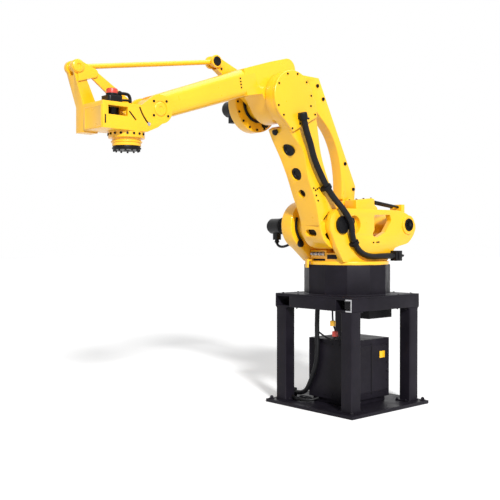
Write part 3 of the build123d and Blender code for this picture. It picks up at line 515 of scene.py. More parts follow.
def cap_screw(radius, height):
    """A socket screw's head, standing on its seat."""
    head = cylinder(16, radius, height, height / 2)
    select_faces(head, faces_up)
    wall = radius * 0.46
    bpy.ops.mesh.inset(thickness=wall)
    socket = height * 0.6
    push(-socket)
    bpy.ops.object.mode_set(mode="OBJECT")
    chamfered(head, radius * 0.12)
    return head


def hex_bolt(radius, height):
    """A hex head on its washer."""
    washer = cylinder(24, radius * 1.5, height * 0.3, height * 0.15)
    chamfered(washer, height * 0.06)
    head = cylinder(6, radius, height, height * 0.65)
    select_faces(head, faces_up)
    bpy.ops.mesh.inset(thickness=radius * 0.35)
    shank_end = height * 0.35
    push(shank_end)
    bpy.ops.object.mode_set(mode="OBJECT")
    chamfered(head, radius * 0.06)
    washer.select_set(True)
    head.select_set(True)
    bpy.context.view_layer.objects.active = washer
    bpy.ops.object.join()
    return washer


def face_out():
    """Turns all faces of the piece in edit mode outwards and leaves edit mode."""
    bpy.ops.mesh.select_all(action="SELECT")
    bpy.ops.mesh.normals_make_consistent(inside=False)
    bpy.ops.object.mode_set(mode="OBJECT")


def turned(outline, sides=48):
    """A turned piece round Z: a disc extruded and scaled along radius and height pairs."""
    radius, height = outline[0]
    base = (0, 0, height)
    bpy.ops.mesh.primitive_circle_add(vertices=sides, radius=radius, fill_type="NGON", location=base)
    piece = bpy.context.object
    bpy.ops.object.transform_apply(location=True)
    bpy.ops.object.mode_set(mode="EDIT")
    bpy.ops.mesh.select_all(action="SELECT")
    for next_radius, next_height in outline[1:]:
        push(next_height - height)
        share = next_radius / radius
        bpy.ops.transform.resize(value=(share, share, 1))
        radius = next_radius
        height = next_height
    face_out()
    return piece


def block(size, edge, rim=0.0, depth=0.0):
    """A moulded block standing on its seat, with a recessed or raised top panel."""
    bpy.ops.mesh.primitive_cube_add(size=1, location=(0, 0, size[2] / 2))
    piece = bpy.context.object
    piece.scale = size
    bpy.ops.object.transform_apply(location=True, scale=True)
    if rim:
        select_faces(piece, faces_up)
        bpy.ops.mesh.inset(thickness=rim)
        push(depth)
        bpy.ops.object.mode_set(mode="OBJECT")
    chamfered(piece, edge)
    return piece


def outlined(points, thick, edge):
    """A flat piece with a free outline: a disc whose rim is moved to the points, then extruded."""
    bpy.ops.mesh.primitive_circle_add(vertices=len(points), radius=1, fill_type="NGON")
    piece = bpy.context.object
    for vertex, point in zip(piece.data.vertices, points):
        vertex.co = (point[0], point[1], 0)
    bpy.ops.object.mode_set(mode="EDIT")
    bpy.ops.mesh.select_all(action="SELECT")
    push(thick)
    face_out()
    chamfered(piece, edge)
    return piece


def seat(point, normal):
    """The place of a piece that stands on a face."""
    direction = Vector(normal)
    side_axis = "Y" if abs(direction.z) < 0.9 else "X"
    turn = direction.to_track_quat("Z", side_axis).to_matrix().to_4x4()
    return Matrix.Translation(Vector(point)) @ turn


def ring(centre, normal, radius, count, start=0.0):
    """Places spaced round an axis."""
    base = seat(centre, normal)
    out = Matrix.Translation((radius, 0, 0))
    return [base @ Matrix.Rotation(start + 2 * pi * k / count, 4, "Z") @ out for k in range(count)]


def spread(name, master, places, slot, body, smooth_angle=35.0):
    """Copies a master to its places, joins the copies and makes them ride on a body."""
    parts = []
    for place in places:
        part = bpy.data.objects.new(name, master.data.copy())
        bpy.context.collection.objects.link(part)
        part.matrix_world = place
        parts.append(part)
    bpy.data.objects.remove(master)
    deselect()
    for part in parts:
        part.select_set(True)
    bpy.context.view_layer.objects.active = parts[0]
    if len(parts) > 1:
        bpy.ops.object.join()
    parts[0].name = name
    settle(parts[0], slot, body, smooth_angle)


def on_arm(along, ahead, across):
    """A point on the lower arm: along it from the shoulder, ahead of its axis, and across."""
    return SHOULDER + ARM_UP * along + ARM_AHEAD * ahead + LEFT * across


def on_tube(along, above, across):
    """A point on the upper arm: along it from the elbow, above its axis, and across."""
    return ELBOW + TUBE_AHEAD * along + TUBE_UP * above + LEFT * across


def flat(point):
    """A point's place on a left-hand face, seen from outside."""
    return (-point[0], point[2])


def rounded_slot(half_length, half_width):
    """The outline of a slot with round ends."""
    run = half_length - half_width
    steps = 8
    right = []
    for k in range(steps + 1):
        angle = pi * k / steps
        right.append((run + half_width * sin(angle), half_width * cos(angle)))
    left = [(-x, -y) for x, y in right]
    return right + left


def strip(points, half_width):
    """The outline of a narrow strip along a line of points."""
    left = []
    right = []
    for k, point in enumerate(points):
        before = points[max(k - 1, 0)]
        after = points[min(k + 1, len(points) - 1)]
        run = after[0] - before[0]
        rise = after[1] - before[1]
        share = half_width / hypot(run, rise)
        left.append((point[0] - rise * share, point[1] + run * share))
        right.append((point[0] + rise * share, point[1] - run * share))
    return left + right[::-1]


def from_axis(axis, angle, reach, across):
    """A point at an angle and reach from a cross axis, in the side view."""
    ahead = cos(radians(angle)) * reach
    above = sin(radians(angle)) * reach
    return axis + FORWARD * ahead + UP * above + LEFT * across


def centre_line(name, points):
    """A smooth line with these control points, as a curve object."""
    data = bpy.data.curves.new(name, "CURVE")
    data.dimensions = "3D"
    data.resolution_u = 10
    spline = data.splines.new("NURBS")
    spline.points.add(len(points) - 1)
    for control, point in zip(spline.points, points):
        control.co = (*point, 1)
    spline.order_u = 3
    spline.use_endpoint_u = True
    line = bpy.data.objects.new(name, data)
    bpy.context.collection.objects.link(line)
    return line


def hose(name, points, radius, slot):
    """A round hose along a route."""
    line = centre_line(name, points)
    drawn = bpy.data.meshes.new_from_object(line)
    bpy.data.meshes.remove(drawn)
    line.data.bevel_depth = radius
    line.data.bevel_resolution = 5
    line.data.use_fill_caps = True
    activate(line)
    bpy.ops.object.convert(target="MESH")
    piece = bpy.context.object
    bpy.ops.object.shade_smooth_by_angle(angle=radians(HOSE_SMOOTH))
    piece.data.materials.clear()
    piece.data.materials.append(finish_of(slot))
    deselect()
    return piece


class ARM_OT_hoses(Operator):
    """Lay the umbilical hose, the stand's cable bundle and the motor cables"""

    bl_idname = "arm.hoses"
    bl_label = "Hoses and cables"

    def execute(self, context):
        self.umbilical()
        self.stand_bundle()
        self.motor_cables()
        self.stand_leads()
        return {"FINISHED"}

    def umbilical(self):
        """The thick hose from the elbow's gland to the connector beside the box body."""
        route = [
            (0.857, 0.272, 2.568), (0.830, 0.268, 2.486), (0.769, 0.262, 2.380), (0.717, 0.258, 2.242),
            (0.604, 0.258, 2.073), (0.497, 0.258, 1.940), (0.400, 0.320, 1.811), (0.321, 0.328, 1.715),
            (0.300, 0.326, 1.650), (0.268, 0.300, 1.570), (0.199, 0.300, 1.463), (0.110, 0.300, 1.410),
            (-0.017, 0.300, 1.388), (-0.165, 0.300, 1.396), (-0.319, 0.300, 1.396),
        ]
        umbilical = hose("umbilical_hose_bend", route, 0.028, "black_rubber")
        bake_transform(umbilical)
        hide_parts("umbilical_hose")

    def stand_bundle(self):
        """The bundle from the deck down to its gland on the base plate."""
        bundle = [
            (0.330, -0.062, 1.025), (0.330, -0.082, 0.764), (0.330, -0.062, 0.449), (0.330, -0.150, 0.230),
            (0.330, -0.240, 0.084), (0.296, -0.400, 0.084),
        ]
        cable = hose("stand_cable_bundle", bundle, 0.022, "black_rubber")
        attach(cable, "stand")
        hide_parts("stand_cables")
        gland = block((0.052, 0.060, 0.090), 0.006, 0.010, 0.004)
        places = [Matrix.Translation((0.296, -0.426, PLATE_TOP))]
        spread("floor_gland", gland, places, "black_plastic", "stand")

    def motor_cables(self):
        """The loop under the shoulder motor and the two short cables into the wrist."""
        down = [
            SHOULDER + Vector((0.0, -0.575, -0.130)),
            SHOULDER + Vector((0.0, -0.580, -0.178)),
            SHOULDER + Vector((0.004, -0.510, -0.205)),
            SHOULDER + Vector((0.006, -0.410, -0.185)),
            SHOULDER + Vector((0.006, -0.290, -0.140)),
        ]
        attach(hose("shoulder_motor_cable", down, 0.012, "black_rubber"), "turntable")
        over = [
            WRIST + Vector((0.300, 0.0, 0.098)),
            WRIST + Vector((0.240, 0.0, 0.106)),
            WRIST + Vector((0.184, 0.0, 0.100)),
            WRIST + Vector((0.180, 0.0, 0.020)),
            WRIST + Vector((0.180, 0.0, -0.080)),
        ]
        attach(hose("encoder_cable", over, 0.012, "black_rubber"), "wrist")
        under = [
            WRIST + Vector((0.282, 0.040, 0.044)),
            WRIST + Vector((0.250, 0.040, 0.048)),
            WRIST + Vector((0.206, 0.040, 0.050)),
            WRIST + Vector((0.198, 0.040, 0.000)),
            WRIST + Vector((0.198, 0.040, -0.088)),
        ]
        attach(hose("wrist_motor_cable", under, 0.009, "black_rubber"), "wrist")

    def stand_leads(self):
        """The loose cable on the base plate and the thin lead with its two plugs."""
        coil = [
            (0.326, -0.420, 0.070), (0.420, -0.300, 0.052), (0.400, -0.170, 0.048), (0.300, -0.150, 0.050),
            (0.330, -0.260, 0.066), (0.430, -0.240, 0.060), (0.380, -0.120, 0.046), (0.298, -0.090, 0.070),
        ]
        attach(hose("stand_cable_coil", coil, 0.014, "black_rubber"), "stand")
        lead = [
            (0.360, 0.150, 1.018), (0.362, 0.146, 0.910), (0.360, 0.150, 0.790), (0.360, 0.196, 0.700),
            (0.352, 0.130, 0.610), (0.336, -0.060, 0.700),
        ]
        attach(hose("stand_signal_lead", lead, 0.008, "black_rubber"), "stand")
        for name, point, slot in (
            ("upper_lead_plug", (0.360, 0.152, 0.765), "yellow_paint"),
            ("lower_lead_plug", (0.359, 0.176, 0.672), "red_plastic"),
        ):
            plug = block((0.034, 0.042, 0.046), 0.005, 0.007, 0.004)
            spread(name, plug, [Matrix.Translation(point)], slot, "stand")


class ARM_OT_screws(Operator):
    """Set the socket screws on covers, drives, caps and castings"""

    bl_idname = "arm.screws"
    bl_label = "Socket screws"

    def execute(self, context):
        rows = (
            ("elbow_cover_screws", 0.0085, "lower_arm", self.cover_places()),
            ("shoulder_drive_screws", 0.010, "turntable", self.shoulder_places()),
            ("elbow_drive_screws", 0.010, "upper_arm", self.elbow_places()),
            ("cheek_screws", 0.008, "turntable", self.cheek_places()),
            ("arm_screws", 0.008, "lower_arm", self.arm_places()),
            ("tube_screws", 0.007, "upper_arm", self.tube_places()),
            ("link_screws", 0.016, "rear_link", self.link_places()),
            ("wrist_screws", 0.009, "wrist", self.wrist_places()),
            ("lever_screws", 0.010, "elbow_lever", self.lever_places()),
        )
        for name, radius, body, places in rows:
            height = radius * 0.8
            spread(name, cap_screw(radius, height), places, "black_plastic", body)
        return {"FINISHED"}

    def cover_places(self):
        """Round the elbow cover and along its lower edge."""
        bolt_circle = 0.205
        angles = (67, 28, 100, 135, 170, -25, -52, -165)
        places = [seat(from_axis(ELBOW, angle, bolt_circle, COVER_FACE), LEFT) for angle in angles]
        edge = 0.992
        for ahead in (0.145, 0.045, -0.075, -0.165):
            places.append(seat(on_arm(edge, ahead, COVER_FACE), LEFT))
        return places

    def shoulder_places(self):
        """Round the shoulder drive's near and far faces."""
        places = []
        for angle in range(55, 206, 30):
            places.append(seat(from_axis(SHOULDER, angle, 0.204, SHOULDER_DRIVE_NEAR), LEFT))
        return places + ring(SHOULDER + LEFT * SHOULDER_DRIVE_FAR, -LEFT, 0.190, 12)

    def elbow_places(self):
        """Round the elbow drive's near and far faces."""
        near = ring(ELBOW + LEFT * ELBOW_DRIVE_NEAR, LEFT, 0.228, 16)
        return near + ring(ELBOW + LEFT * ELBOW_DRIVE_FAR, -LEFT, 0.222, 16)

    def cheek_places(self):
        """On the bearing cap, the near cheek and the balancer's yoke."""
        places = ring(SHOULDER + LEFT * BEARING_CAP_FACE, LEFT, 0.060, 6, 0.3)
        for x, z in ((-0.068, 1.522), (-0.118, 1.524), (-0.143, 1.526)):
            places.append(seat((x, 0.266, z), LEFT))
        yoke_top = (0.1, 0, 1)
        for x, z in ((-0.124, 1.938), (0.075, 1.9185), (-0.02, 1.929)):
            for y in (0.188, 0.095):
                places.append(seat((x, y, z), yoke_top))
        return places

    def arm_places(self):
        """Rows of small screws on the lower arm's near side."""
        level = [(0.395, 0.105), (0.395, 0.080), (0.395, 0.055)]
        upright = [(0.420, 0.118), (0.350, 0.118), (0.300, 0.118)]
        return [seat(on_arm(along, ahead, ARM_FACE), LEFT) for along, ahead in level + upright]

    def tube_places(self):
        """A column of screws on the upper arm's near side, behind the tube's joint."""
        return [seat(on_tube(0.475, above, TUBE_FACE), LEFT) for above in (0.196, 0.170, 0.147, 0.1225)]

    def link_places(self):
        """On the rear link's near side."""
        places = []
        for along, ahead in ((1.150, -0.120), (1.015, -0.135), (0.364, -0.135), (0.10, -0.13), (0.02, -0.04)):
            point = LINK_FOOT + ARM_UP * along + ARM_AHEAD * ahead - LEFT * 0.015
            places.append(seat(point, LEFT))
        return places

    def wrist_places(self):
        """Round the wrist pivot on both cheeks and round the front of the gear case."""
        places = []
        for side in (1, -1):
            for angle in (40, 130, 215, 320):
                places.append(seat(from_axis(WRIST, angle, 0.082, WRIST_CHEEK_FACE * side), LEFT * side))
        case = Vector((TOOL.x, 0, WRIST.z - 0.2005))
        case_radius = 0.135
        for angle in range(-60, 121, 20):
            out = Vector((cos(radians(angle)), sin(radians(angle)), 0))
            places.append(seat(case + out * case_radius, out))
        return places

    def lever_places(self):
        """On the lever's near side."""
        spots = ((25.5, 0.54), (30, 0.40), (152, 0.36), (150, 0.26))
        return [seat(from_axis(ELBOW, angle, reach, LEVER_FACE), LEFT) for angle, reach in spots]


class ARM_OT_bolts(Operator):
    """Set the hex bolts of the base plate and the posts, and the deck's screws"""

    bl_idname = "arm.bolts"
    bl_label = "Hex bolts"

    def execute(self, context):
        anchors = [Matrix.Translation((x * ANCHOR, y * ANCHOR, PLATE_TOP)) for x, y in QUARTERS]
        spread("anchor_bolts", hex_bolt(0.018, 0.020), anchors, "charcoal_paint", "stand")
        pads = []
        for x, y in QUARTERS:
            for ahead, across in ((0.330, 0.440), (0.440, 0.330), (0.336, 0.336)):
                pads.append(Matrix.Translation((x * ahead, y * across, FOOT_PAD_TOP)))
                pads.append(seat((x * ahead, y * across, HEAD_PAD_UNDERSIDE), -UP))
        spread("post_bolts", hex_bolt(0.009, 0.010), pads, "charcoal_paint", "stand")
        rim = 0.455
        spacing = 0.2
        deck = []
        for k in range(-2, 3):
            run = k * spacing
            for x, y in ((rim, run), (-rim, run), (run, rim), (run, -rim)):
                deck.append(Matrix.Translation((x, y, DECK_TOP)))
        spread("deck_screws", cap_screw(0.008, 0.006), deck, "charcoal_paint", "stand")
        return {"FINISHED"}


class ARM_OT_covers(Operator):
    """Turn the caps, hub ribs and drive rings, put painted shade into the lower arm's holes and pockets, and fill
    the near cheek's hole
    """

    bl_idname = "arm.covers"
    bl_label = "Turned covers"

    def execute(self, context):
        face = ((0.070, 0), (0.070, 0.004), (0.046, 0.004), (0.044, 0.007), (0.012, 0.007), (0.010, 0.004))
        places = [seat(SHOULDER + LEFT * BEARING_CAP_FACE, LEFT)]
        spread("bearing_cap_face", turned(face), places, "black_plastic", "turntable")
        self.tail_hub()
        self.drive_covers()
        self.pin_caps()
        self.arm_hole_shade()
        self.arm_recess_shade()
        self.cheek_hole()
        knob = turned(((0.020, 0), (0.020, 0.014), (0.026, 0.018), (0.026, 0.030), (0.020, 0.034)), 24)
        places = [seat(on_arm(0.989, 0.162, 0.055), ARM_AHEAD)]
        spread("arm_knobs", knob, places, "black_plastic", "lower_arm")
        return {"FINISHED"}

    def tail_hub(self):
        """A ribbed hub on the tail: a boss and twelve ribs round it."""
        centre = Vector((SHOULDER.x - 0.954, 0.286, SHOULDER.z + 0.013))
        outline = (
            (0.060, 0), (0.060, 0.003), (0.050, 0.003), (0.048, -0.004),
            (0.020, -0.004), (0.018, 0.012), (0.013, 0.014),
        )
        spread("tail_hub_boss", turned(outline), [seat(centre, LEFT)], "black_plastic", "turntable")
        rib = block((0.036, 0.007, 0.008), 0.0012)
        sunk = Matrix.Translation((0, 0, -0.002))
        places = [place @ sunk for place in ring(centre, LEFT, 0.040, 12)]
        spread("tail_hub_ribs", rib, places, "black_plastic", "turntable")

    def drive_covers(self):
        """A flat cover with a raised ring on the far face of each drive."""
        for name, axis, face, radius, body in (
            ("shoulder_drive_cover", SHOULDER, SHOULDER_DRIVE_FAR, 0.165, "turntable"),
            ("elbow_drive_cover", ELBOW, ELBOW_DRIVE_FAR, 0.195, "upper_arm"),
        ):
            crest = 0.016
            well = radius - 0.034
            ring_side = ((radius, 0), (radius, 0.010), (radius - 0.006, crest))
            outline = (*ring_side, (radius - 0.030, crest), (well, 0.008))
            spread(name, turned(outline, 64), [seat(axis + LEFT * face, -LEFT)], "yellow_paint", body)

    def pin_caps(self):
        """Stepped caps on the ends of the pins."""
        apex = WRIST + Vector((0.548, -0.119, 0.286))
        apex_width = 0.122
        wrist_ends = [seat(WRIST + LEFT * WRIST_PIN_END, LEFT), seat(WRIST - LEFT * WRIST_PIN_END, -LEFT)]
        apex_ends = [seat(apex, LEFT), seat(apex - LEFT * apex_width, -LEFT)]
        for name, outline, sides, places, slot, body in (
            (
                "lever_pin_cap",
                ((0.040, 0), (0.040, 0.005), (0.036, 0.008), (0.020, 0.008), (0.018, 0.005)),
                32, [seat(ROD_REAR + LEFT * 0.050, LEFT)], "black_plastic", "elbow_lever",
            ),
            (
                "apex_pin_cap",
                ((0.046, 0), (0.046, 0.008), (0.040, 0.012), (0.018, 0.012), (0.016, 0.006)),
                32, apex_ends, "yellow_paint", "wrist",
            ),
            (
                "wrist_pin_cap",
                ((0.052, 0), (0.052, 0.005), (0.047, 0.009), (0.022, 0.009), (0.020, 0.005)),
                40, wrist_ends, "yellow_paint", "upper_arm",
            ),
            (
                "link_pin_cap",
                ((0.024, 0), (0.024, 0.006), (0.020, 0.009), (0.008, 0.009), (0.007, 0.005)),
                32, [seat(LINK_FOOT + LEFT * 0.020, LEFT)], "bare_steel", "turntable",
            ),
        ):
            spread(name, turned(outline, sides), places, slot, body)

    def arm_hole_shade(self):
        """Dark turned discs in the lower arm's three round holes, as painted shade inside the holes."""
        crest = 0.070
        for name, share, radius in (
            ("arm_upper_plug", 0.658, 0.0575),
            ("arm_middle_plug", 0.469, 0.0575),
            ("arm_lower_plug", 0.321, 0.0375),
        ):
            # Each black disc is painted shade for the dark inside of a deep round hole.
            side = ((radius, 0), (radius, 0.066), (radius - 0.004, crest))
            outline = (*side, (radius * 0.6, crest), (radius * 0.55, 0.063))
            point = on_arm(share * ARM_LENGTH, 0.062, 0.080)
            spread(name, turned(outline, 40), [seat(point, ARM_AHEAD)], "black_plastic", "lower_arm")

    def arm_recess_shade(self):
        """Dark sheets at the floors of the slot at the lower arm's foot and of the two pockets beside it, as
        painted shade in these recesses.
        """
        tilt = radians(20)
        foot_out = Vector((cos(tilt), 0, -sin(tilt)))
        # The black sheets in the slot and the pockets are painted shade for these recesses.
        foot_shade = outlined(rounded_slot(0.064, 0.032), 0.014, 0.003)
        places = [seat(SHOULDER + LEFT * 0.080 + foot_out * 0.160, foot_out)]
        spread("arm_foot_window", foot_shade, places, "black_plastic", "lower_arm")
        front = ((0.150, 0.030), (0.120, 0.126), (0.094, 0.128), (0.120, 0.050))
        lower = (
            (-0.004, 0.166), (-0.010, 0.128), (-0.062, 0.083),
            (-0.098, 0.091), (-0.100, 0.122), (-0.048, 0.160),
        )
        for name, outline in (("arm_front_pocket", front), ("arm_lower_pocket", lower)):
            points = [flat(on_arm(along, ahead, 0)) for along, ahead in outline]
            shade_sheet = outlined(points, 0.008, 0.002)
            spread(name, shade_sheet, [seat((0, POCKET_FLOOR, 0), LEFT)], "black_plastic", "lower_arm")

    def cheek_hole(self):
        """The disc and the plug in the near cheek's round hole."""
        hole = Vector((SHOULDER.x - 0.172, 0.2125, SHOULDER.z + 0.004))
        disc = turned(((0.0838, 0), (0.0838, 0.006), (0.070, 0.006), (0.068, 0.003)))
        spread("cheek_hole_disc", disc, [seat(hole, LEFT)], "yellow_paint", "turntable")
        outline = (
            (0.030, 0), (0.030, 0.018), (0.036, 0.020), (0.036, 0.032),
            (0.024, 0.034), (0.022, 0.044), (0.014, 0.044),
        )
        places = [seat(hole + Vector((0.008, 0.003, 0.030)), LEFT)]
        spread("cheek_hole_plug", turned(outline, 28), places, "black_plastic", "turntable")


class ARM_OT_motors(Operator):
    """Fit the cooling ribs, end covers and plugs of the motors"""

    bl_idname = "arm.motors"
    bl_label = "Motor details"

    def execute(self, context):
        self.motor("shoulder_motor", SHOULDER, -0.330, "turntable")
        self.motor("elbow_motor", ELBOW, -0.385, "upper_arm")
        outline = ((0.020, 0), (0.020, 0.016), (0.024, 0.018), (0.024, 0.026), (0.016, 0.030), (0.014, 0.040))
        places = [seat(SHOULDER + Vector((0, -0.575, -0.130)), -UP)]
        spread("shoulder_motor_plug", turned(outline, 24), places, "black_plastic", "turntable")
        self.wrist_motor()
        return {"FINISHED"}

    def motor(self, name, axis, near, body):
        """The ribs, the end cover and the flange's screws of a motor that starts at this face."""
        flange = axis + LEFT * near
        spread(name + "_ribs", turned(self.ribs(), 56), [seat(flange, -LEFT)], "black_paint", body)
        end = turned(((0.062, 0), (0.062, 0.006), (0.056, 0.010), (0.030, 0.010), (0.028, 0.006)), 40)
        places = [seat(axis + LEFT * MOTOR_END, -LEFT)]
        spread(name + "_end_cover", end, places, "black_plastic", body)
        screws = cap_screw(0.009, 0.008)
        spread(name + "_screws", screws, ring(flange, -LEFT, 0.091, 8, 0.2), "bare_steel", body)

    def ribs(self):
        """The outline of nine cooling ribs round a motor's housing."""
        root = 0.0742
        crest = 0.082
        pitch = 0.018
        outline = [(root, 0.0)]
        for k in range(9):
            base = 0.006 + k * pitch
            outline += [(root, base), (crest, base + 0.001), (crest, base + 0.007), (root, base + 0.008)]
        outline.append((root, 0.180))
        return outline

    def wrist_motor(self):
        """The wrist motor's top plate, the red cap's collar, lid and plug, and the cable's gland."""
        motor = Vector((WRIST.x + 0.340, 0, WRIST.z))
        plate = block((0.112, 0.112, 0.005), 0.002, 0.010, 0.003)
        spread("wrist_motor_top", plate, [Matrix.Translation(motor + UP * 0.070)], "black_paint", "wrist")
        collar = turned(((0.0428, 0), (0.0428, 0.010), (0.0445, 0.012), (0.0445, 0.020), (0.0428, 0.022)), 40)
        spread("encoder_collar", collar, [Matrix.Translation(motor + UP * 0.071)], "black_plastic", "wrist")
        lid = turned(((0.036, 0), (0.036, 0.002), (0.033, 0.004), (0.012, 0.004), (0.010, 0.002)), 40)
        spread("encoder_lid", lid, [Matrix.Translation(motor + UP * 0.126)], "red_plastic", "wrist")
        plug = turned(((0.018, 0), (0.018, 0.020), (0.022, 0.022), (0.022, 0.034), (0.016, 0.036)), 24)
        places = [seat(WRIST + Vector((0.302, 0, 0.098)), -FORWARD)]
        spread("encoder_plug", plug, places, "black_plastic", "wrist")
        gland = block((0.070, 0.060, 0.030), 0.004, 0.008, 0.004)
        places = [Matrix.Translation(WRIST + Vector((0.180, 0, -0.092)))]
        spread("encoder_cable_gland", gland, places, "black_plastic", "wrist")


class ARM_OT_wrist_details(Operator):
    """Add the front block's cover, painted shade in the cheek's slots and in the front block's slot, the gear
    case's ring and the flange's ring
    """

    bl_idname = "arm.wrist_details"
    bl_label = "Wrist details"

    def execute(self, context):
        panel = block((0.240, 0.166, 0.007), 0.003, 0.012, -0.002)
        places = [seat((WRIST_FRONT, 0.010, WRIST.z - 0.098), FORWARD)]
        spread("front_block_cover", panel, places, "yellow_paint", "wrist")
        self.cheek_slots()
        # The black strip is painted shade inside the front block's slot.
        slit_shade = block((0.010, 0.062, 0.003), 0.001)
        places = [seat((WRIST_FRONT - 0.022, WRIST_CHEEK_FACE, WRIST.z - 0.118), LEFT)]
        spread("front_block_slot", slit_shade, places, "black_plastic", "wrist")
        case = Vector((TOOL.x, 0, WRIST.z - 0.262))
        band = turned(((0.1085, 0), (0.116, 0.004), (0.116, 0.012), (0.1085, 0.016)), 64)
        spread("reducer_ring", band, [Matrix.Translation(case)], "yellow_paint", "wrist")
        lip = turned(((0.104, 0), (0.108, 0.003), (0.108, 0.010), (0.104, 0.013)), 64)
        spread("flange_ring", lip, [Matrix.Translation(TOOL + UP * 0.008)], "black_plastic", "tool_flange")
        screw = cap_screw(0.007, 0.010)
        spread("flange_screws", screw, ring(TOOL, -UP, 0.094, 12, 0.13), "black_plastic", "tool_flange")
        return {"FINISHED"}

    def cheek_slots(self):
        """Dark sheets sunk in two slots of the near cheek, ahead and above the wrist's pivot, as painted shade in
        the slots, and a steel bush.
        """
        arc = ((0.184, -0.010), (0.170, -0.043), (0.150, -0.072), (0.129, -0.099), (0.105, -0.123))
        slant = ((0.221, -0.102), (0.273, -0.048))
        half_width = 0.0066
        for name, line in (("cheek_arc_slot", arc), ("cheek_slant_slot", slant)):
            # The black strips are painted shade inside the cheek's slots.
            points = strip([(-ahead, above) for ahead, above in line], half_width)
            shade_sheet = outlined(points, 0.018, 0.001)
            spread(name, shade_sheet, [seat((WRIST.x, 0.112, WRIST.z), LEFT)], "black_plastic", "wrist")
        bush = turned(((0.014, 0), (0.014, 0.003), (0.009, 0.003), (0.008, 0.001)), 24)
        places = [seat(WRIST + Vector((0.105, WRIST_CHEEK_FACE, -0.123)), LEFT)]
        spread("arc_slot_bush", bush, places, "bare_steel", "wrist")


class ARM_OT_turntable_details(Operator):
    """Add painted shade in the apron's slot and recesses, the apron's fittings, the hose's end and the stop tab's
    screws
    """

    bl_idname = "arm.turntable_details"
    bl_label = "Turntable details"

    def execute(self, context):
        self.apron()
        outline = ((0.024, 0), (0.024, 0.010), (0.015, 0.013), (0.015, 0.040), (0.011, 0.042), (0.011, 0.060))
        places = [seat((-0.411, 0.300, HOSE_END), -FORWARD)]
        spread("hose_end_stub", turned(outline, 24), places, "black_plastic", "turntable")
        tab = [seat((0.395, -0.144 + across, APRON_TOP + 0.018), UP) for across in (-0.018, 0.018)]
        spread("stop_tab_screws", cap_screw(0.006, 0.005), tab, "yellow_paint", "turntable")
        rib = block((0.024, 0.070, 0.006), 0.002, 0.004, 0.002)
        spread("hose_end_rib", rib, [seat((-0.365, 0.334, HOSE_END), LEFT)], "black_plastic", "turntable")
        return {"FINISHED"}

    def apron(self):
        """Dark sheets as painted shade in a slot and two recesses, and four steel fittings, in the front of the
        swivel base.
        """
        # The black sheets in the slot and recesses are painted shade.
        slit_shade = block((0.160, 0.018, 0.004), 0.001)
        places = [seat((0.3252, -0.044, APRON_TOP + 0.0157), FORWARD)]
        spread("apron_slot", slit_shade, places, "black_plastic", "turntable")
        recess_shade = block((0.170, 0.034, 0.004), 0.002, 0.004, -0.002)
        places = [seat((APRON_FACE, -0.050, APRON_TOP + 0.072), FORWARD)]
        spread("apron_recess", recess_shade, places, "black_plastic", "turntable")
        outline = ((0.015, 0), (0.015, 0.006), (0.011, 0.008), (0.011, 0.022), (0.008, 0.024), (0.008, 0.017))
        places = [seat((0.348, y, APRON_TOP + 0.070), FORWARD) for y in (-0.115, -0.070, -0.025, 0.020)]
        spread("apron_fittings", turned(outline, 20), places, "bare_steel", "turntable")
        # This black sheet is painted shade in the body's recess.
        dark = block((0.120, 0.040, 0.004), 0.002)
        places = [seat((APRON_FACE, 0.128, APRON_TOP + 0.044), FORWARD)]
        spread("body_recess", dark, places, "black_plastic", "turntable")


class ARM_OT_stand_details(Operator):
    """Add the cabinet's door, plain plate, handle and screws, and the stand's weld, a painted highlight on a
    channel's cut end, and caps
    """

    bl_idname = "arm.stand_details"
    bl_label = "Stand details"

    def execute(self, context):
        self.cabinet()
        # A thin bare steel C on a side channel's cut end, as painted highlight for the bright cut edges.
        lip = outlined(self.channel_end(), 0.0015, 0.0004)
        spread("channel_cut_edge", lip, [seat((0.480, 0.480, 0.915), FORWARD)], "bare_steel", "stand")
        bead = turned(((0.411, 0), (0.405, 0.008)), 12)
        places = [Matrix.Translation((0, 0, DECK_TOP)) @ Matrix.Rotation(radians(12), 4, "Z")]
        spread("riser_weld", bead, places, "charcoal_paint", "stand", 20)
        cap = block((0.150, 0.150, 0.004), 0.001)
        places = [Matrix.Translation((x * POST, y * POST, POST_TOP)) for x, y in QUARTERS]
        spread("post_caps", cap, places, "charcoal_paint", "stand")
        return {"FINISHED"}

    def cabinet(self):
        """The door with its plate, seam, screws and handle, and the screws of the front."""
        door = block((0.520, 0.440, 0.006), 0.003, 0.014, -0.003)
        spread("cabinet_door", door, [seat((0.019, CABINET_SIDE, 0.358), LEFT)], "charcoal_paint", "stand")
        plate = block((0.074, 0.063, 0.003), 0.001)
        spread("plain_plate", plate, [seat((-0.147, DOOR_FACE, 0.4785), LEFT)], "yellow_paint", "stand")
        seam = block((0.006, 0.470, 0.003), 0.001)
        spread("door_seam", seam, [seat((0.004, 0.3045, 0.358), LEFT)], "black_plastic", "stand")
        places = []
        for k in range(6):
            height = 0.150 + 0.083 * k
            places += [seat((x, DOOR_FACE, height), LEFT) for x in (-0.215, 0.250)]
        for k in range(6):
            across = 0.260 - 0.085 * k
            places += [seat((CABINET_FRONT, across, height), FORWARD) for height in (0.590, 0.115)]
        spread("cabinet_screws", cap_screw(0.006, 0.005), places, "black_plastic", "stand")
        handle = block((0.024, 0.110, 0.022), 0.006)
        spread("door_handle", handle, [seat((0.215, DOOR_FACE, 0.380), LEFT)], "black_plastic", "stand")

    def channel_end(self):
        """The outline of a side channel's cut end."""
        height = 0.110
        width = 0.070
        wall = 0.012
        inner = height - wall
        back = [(0, 0), (0, height)]
        upper = [(-width, height), (-width, inner), (-wall, inner)]
        lower = [(-wall, wall), (-width, wall), (-width, 0)]
        return back + upper + lower


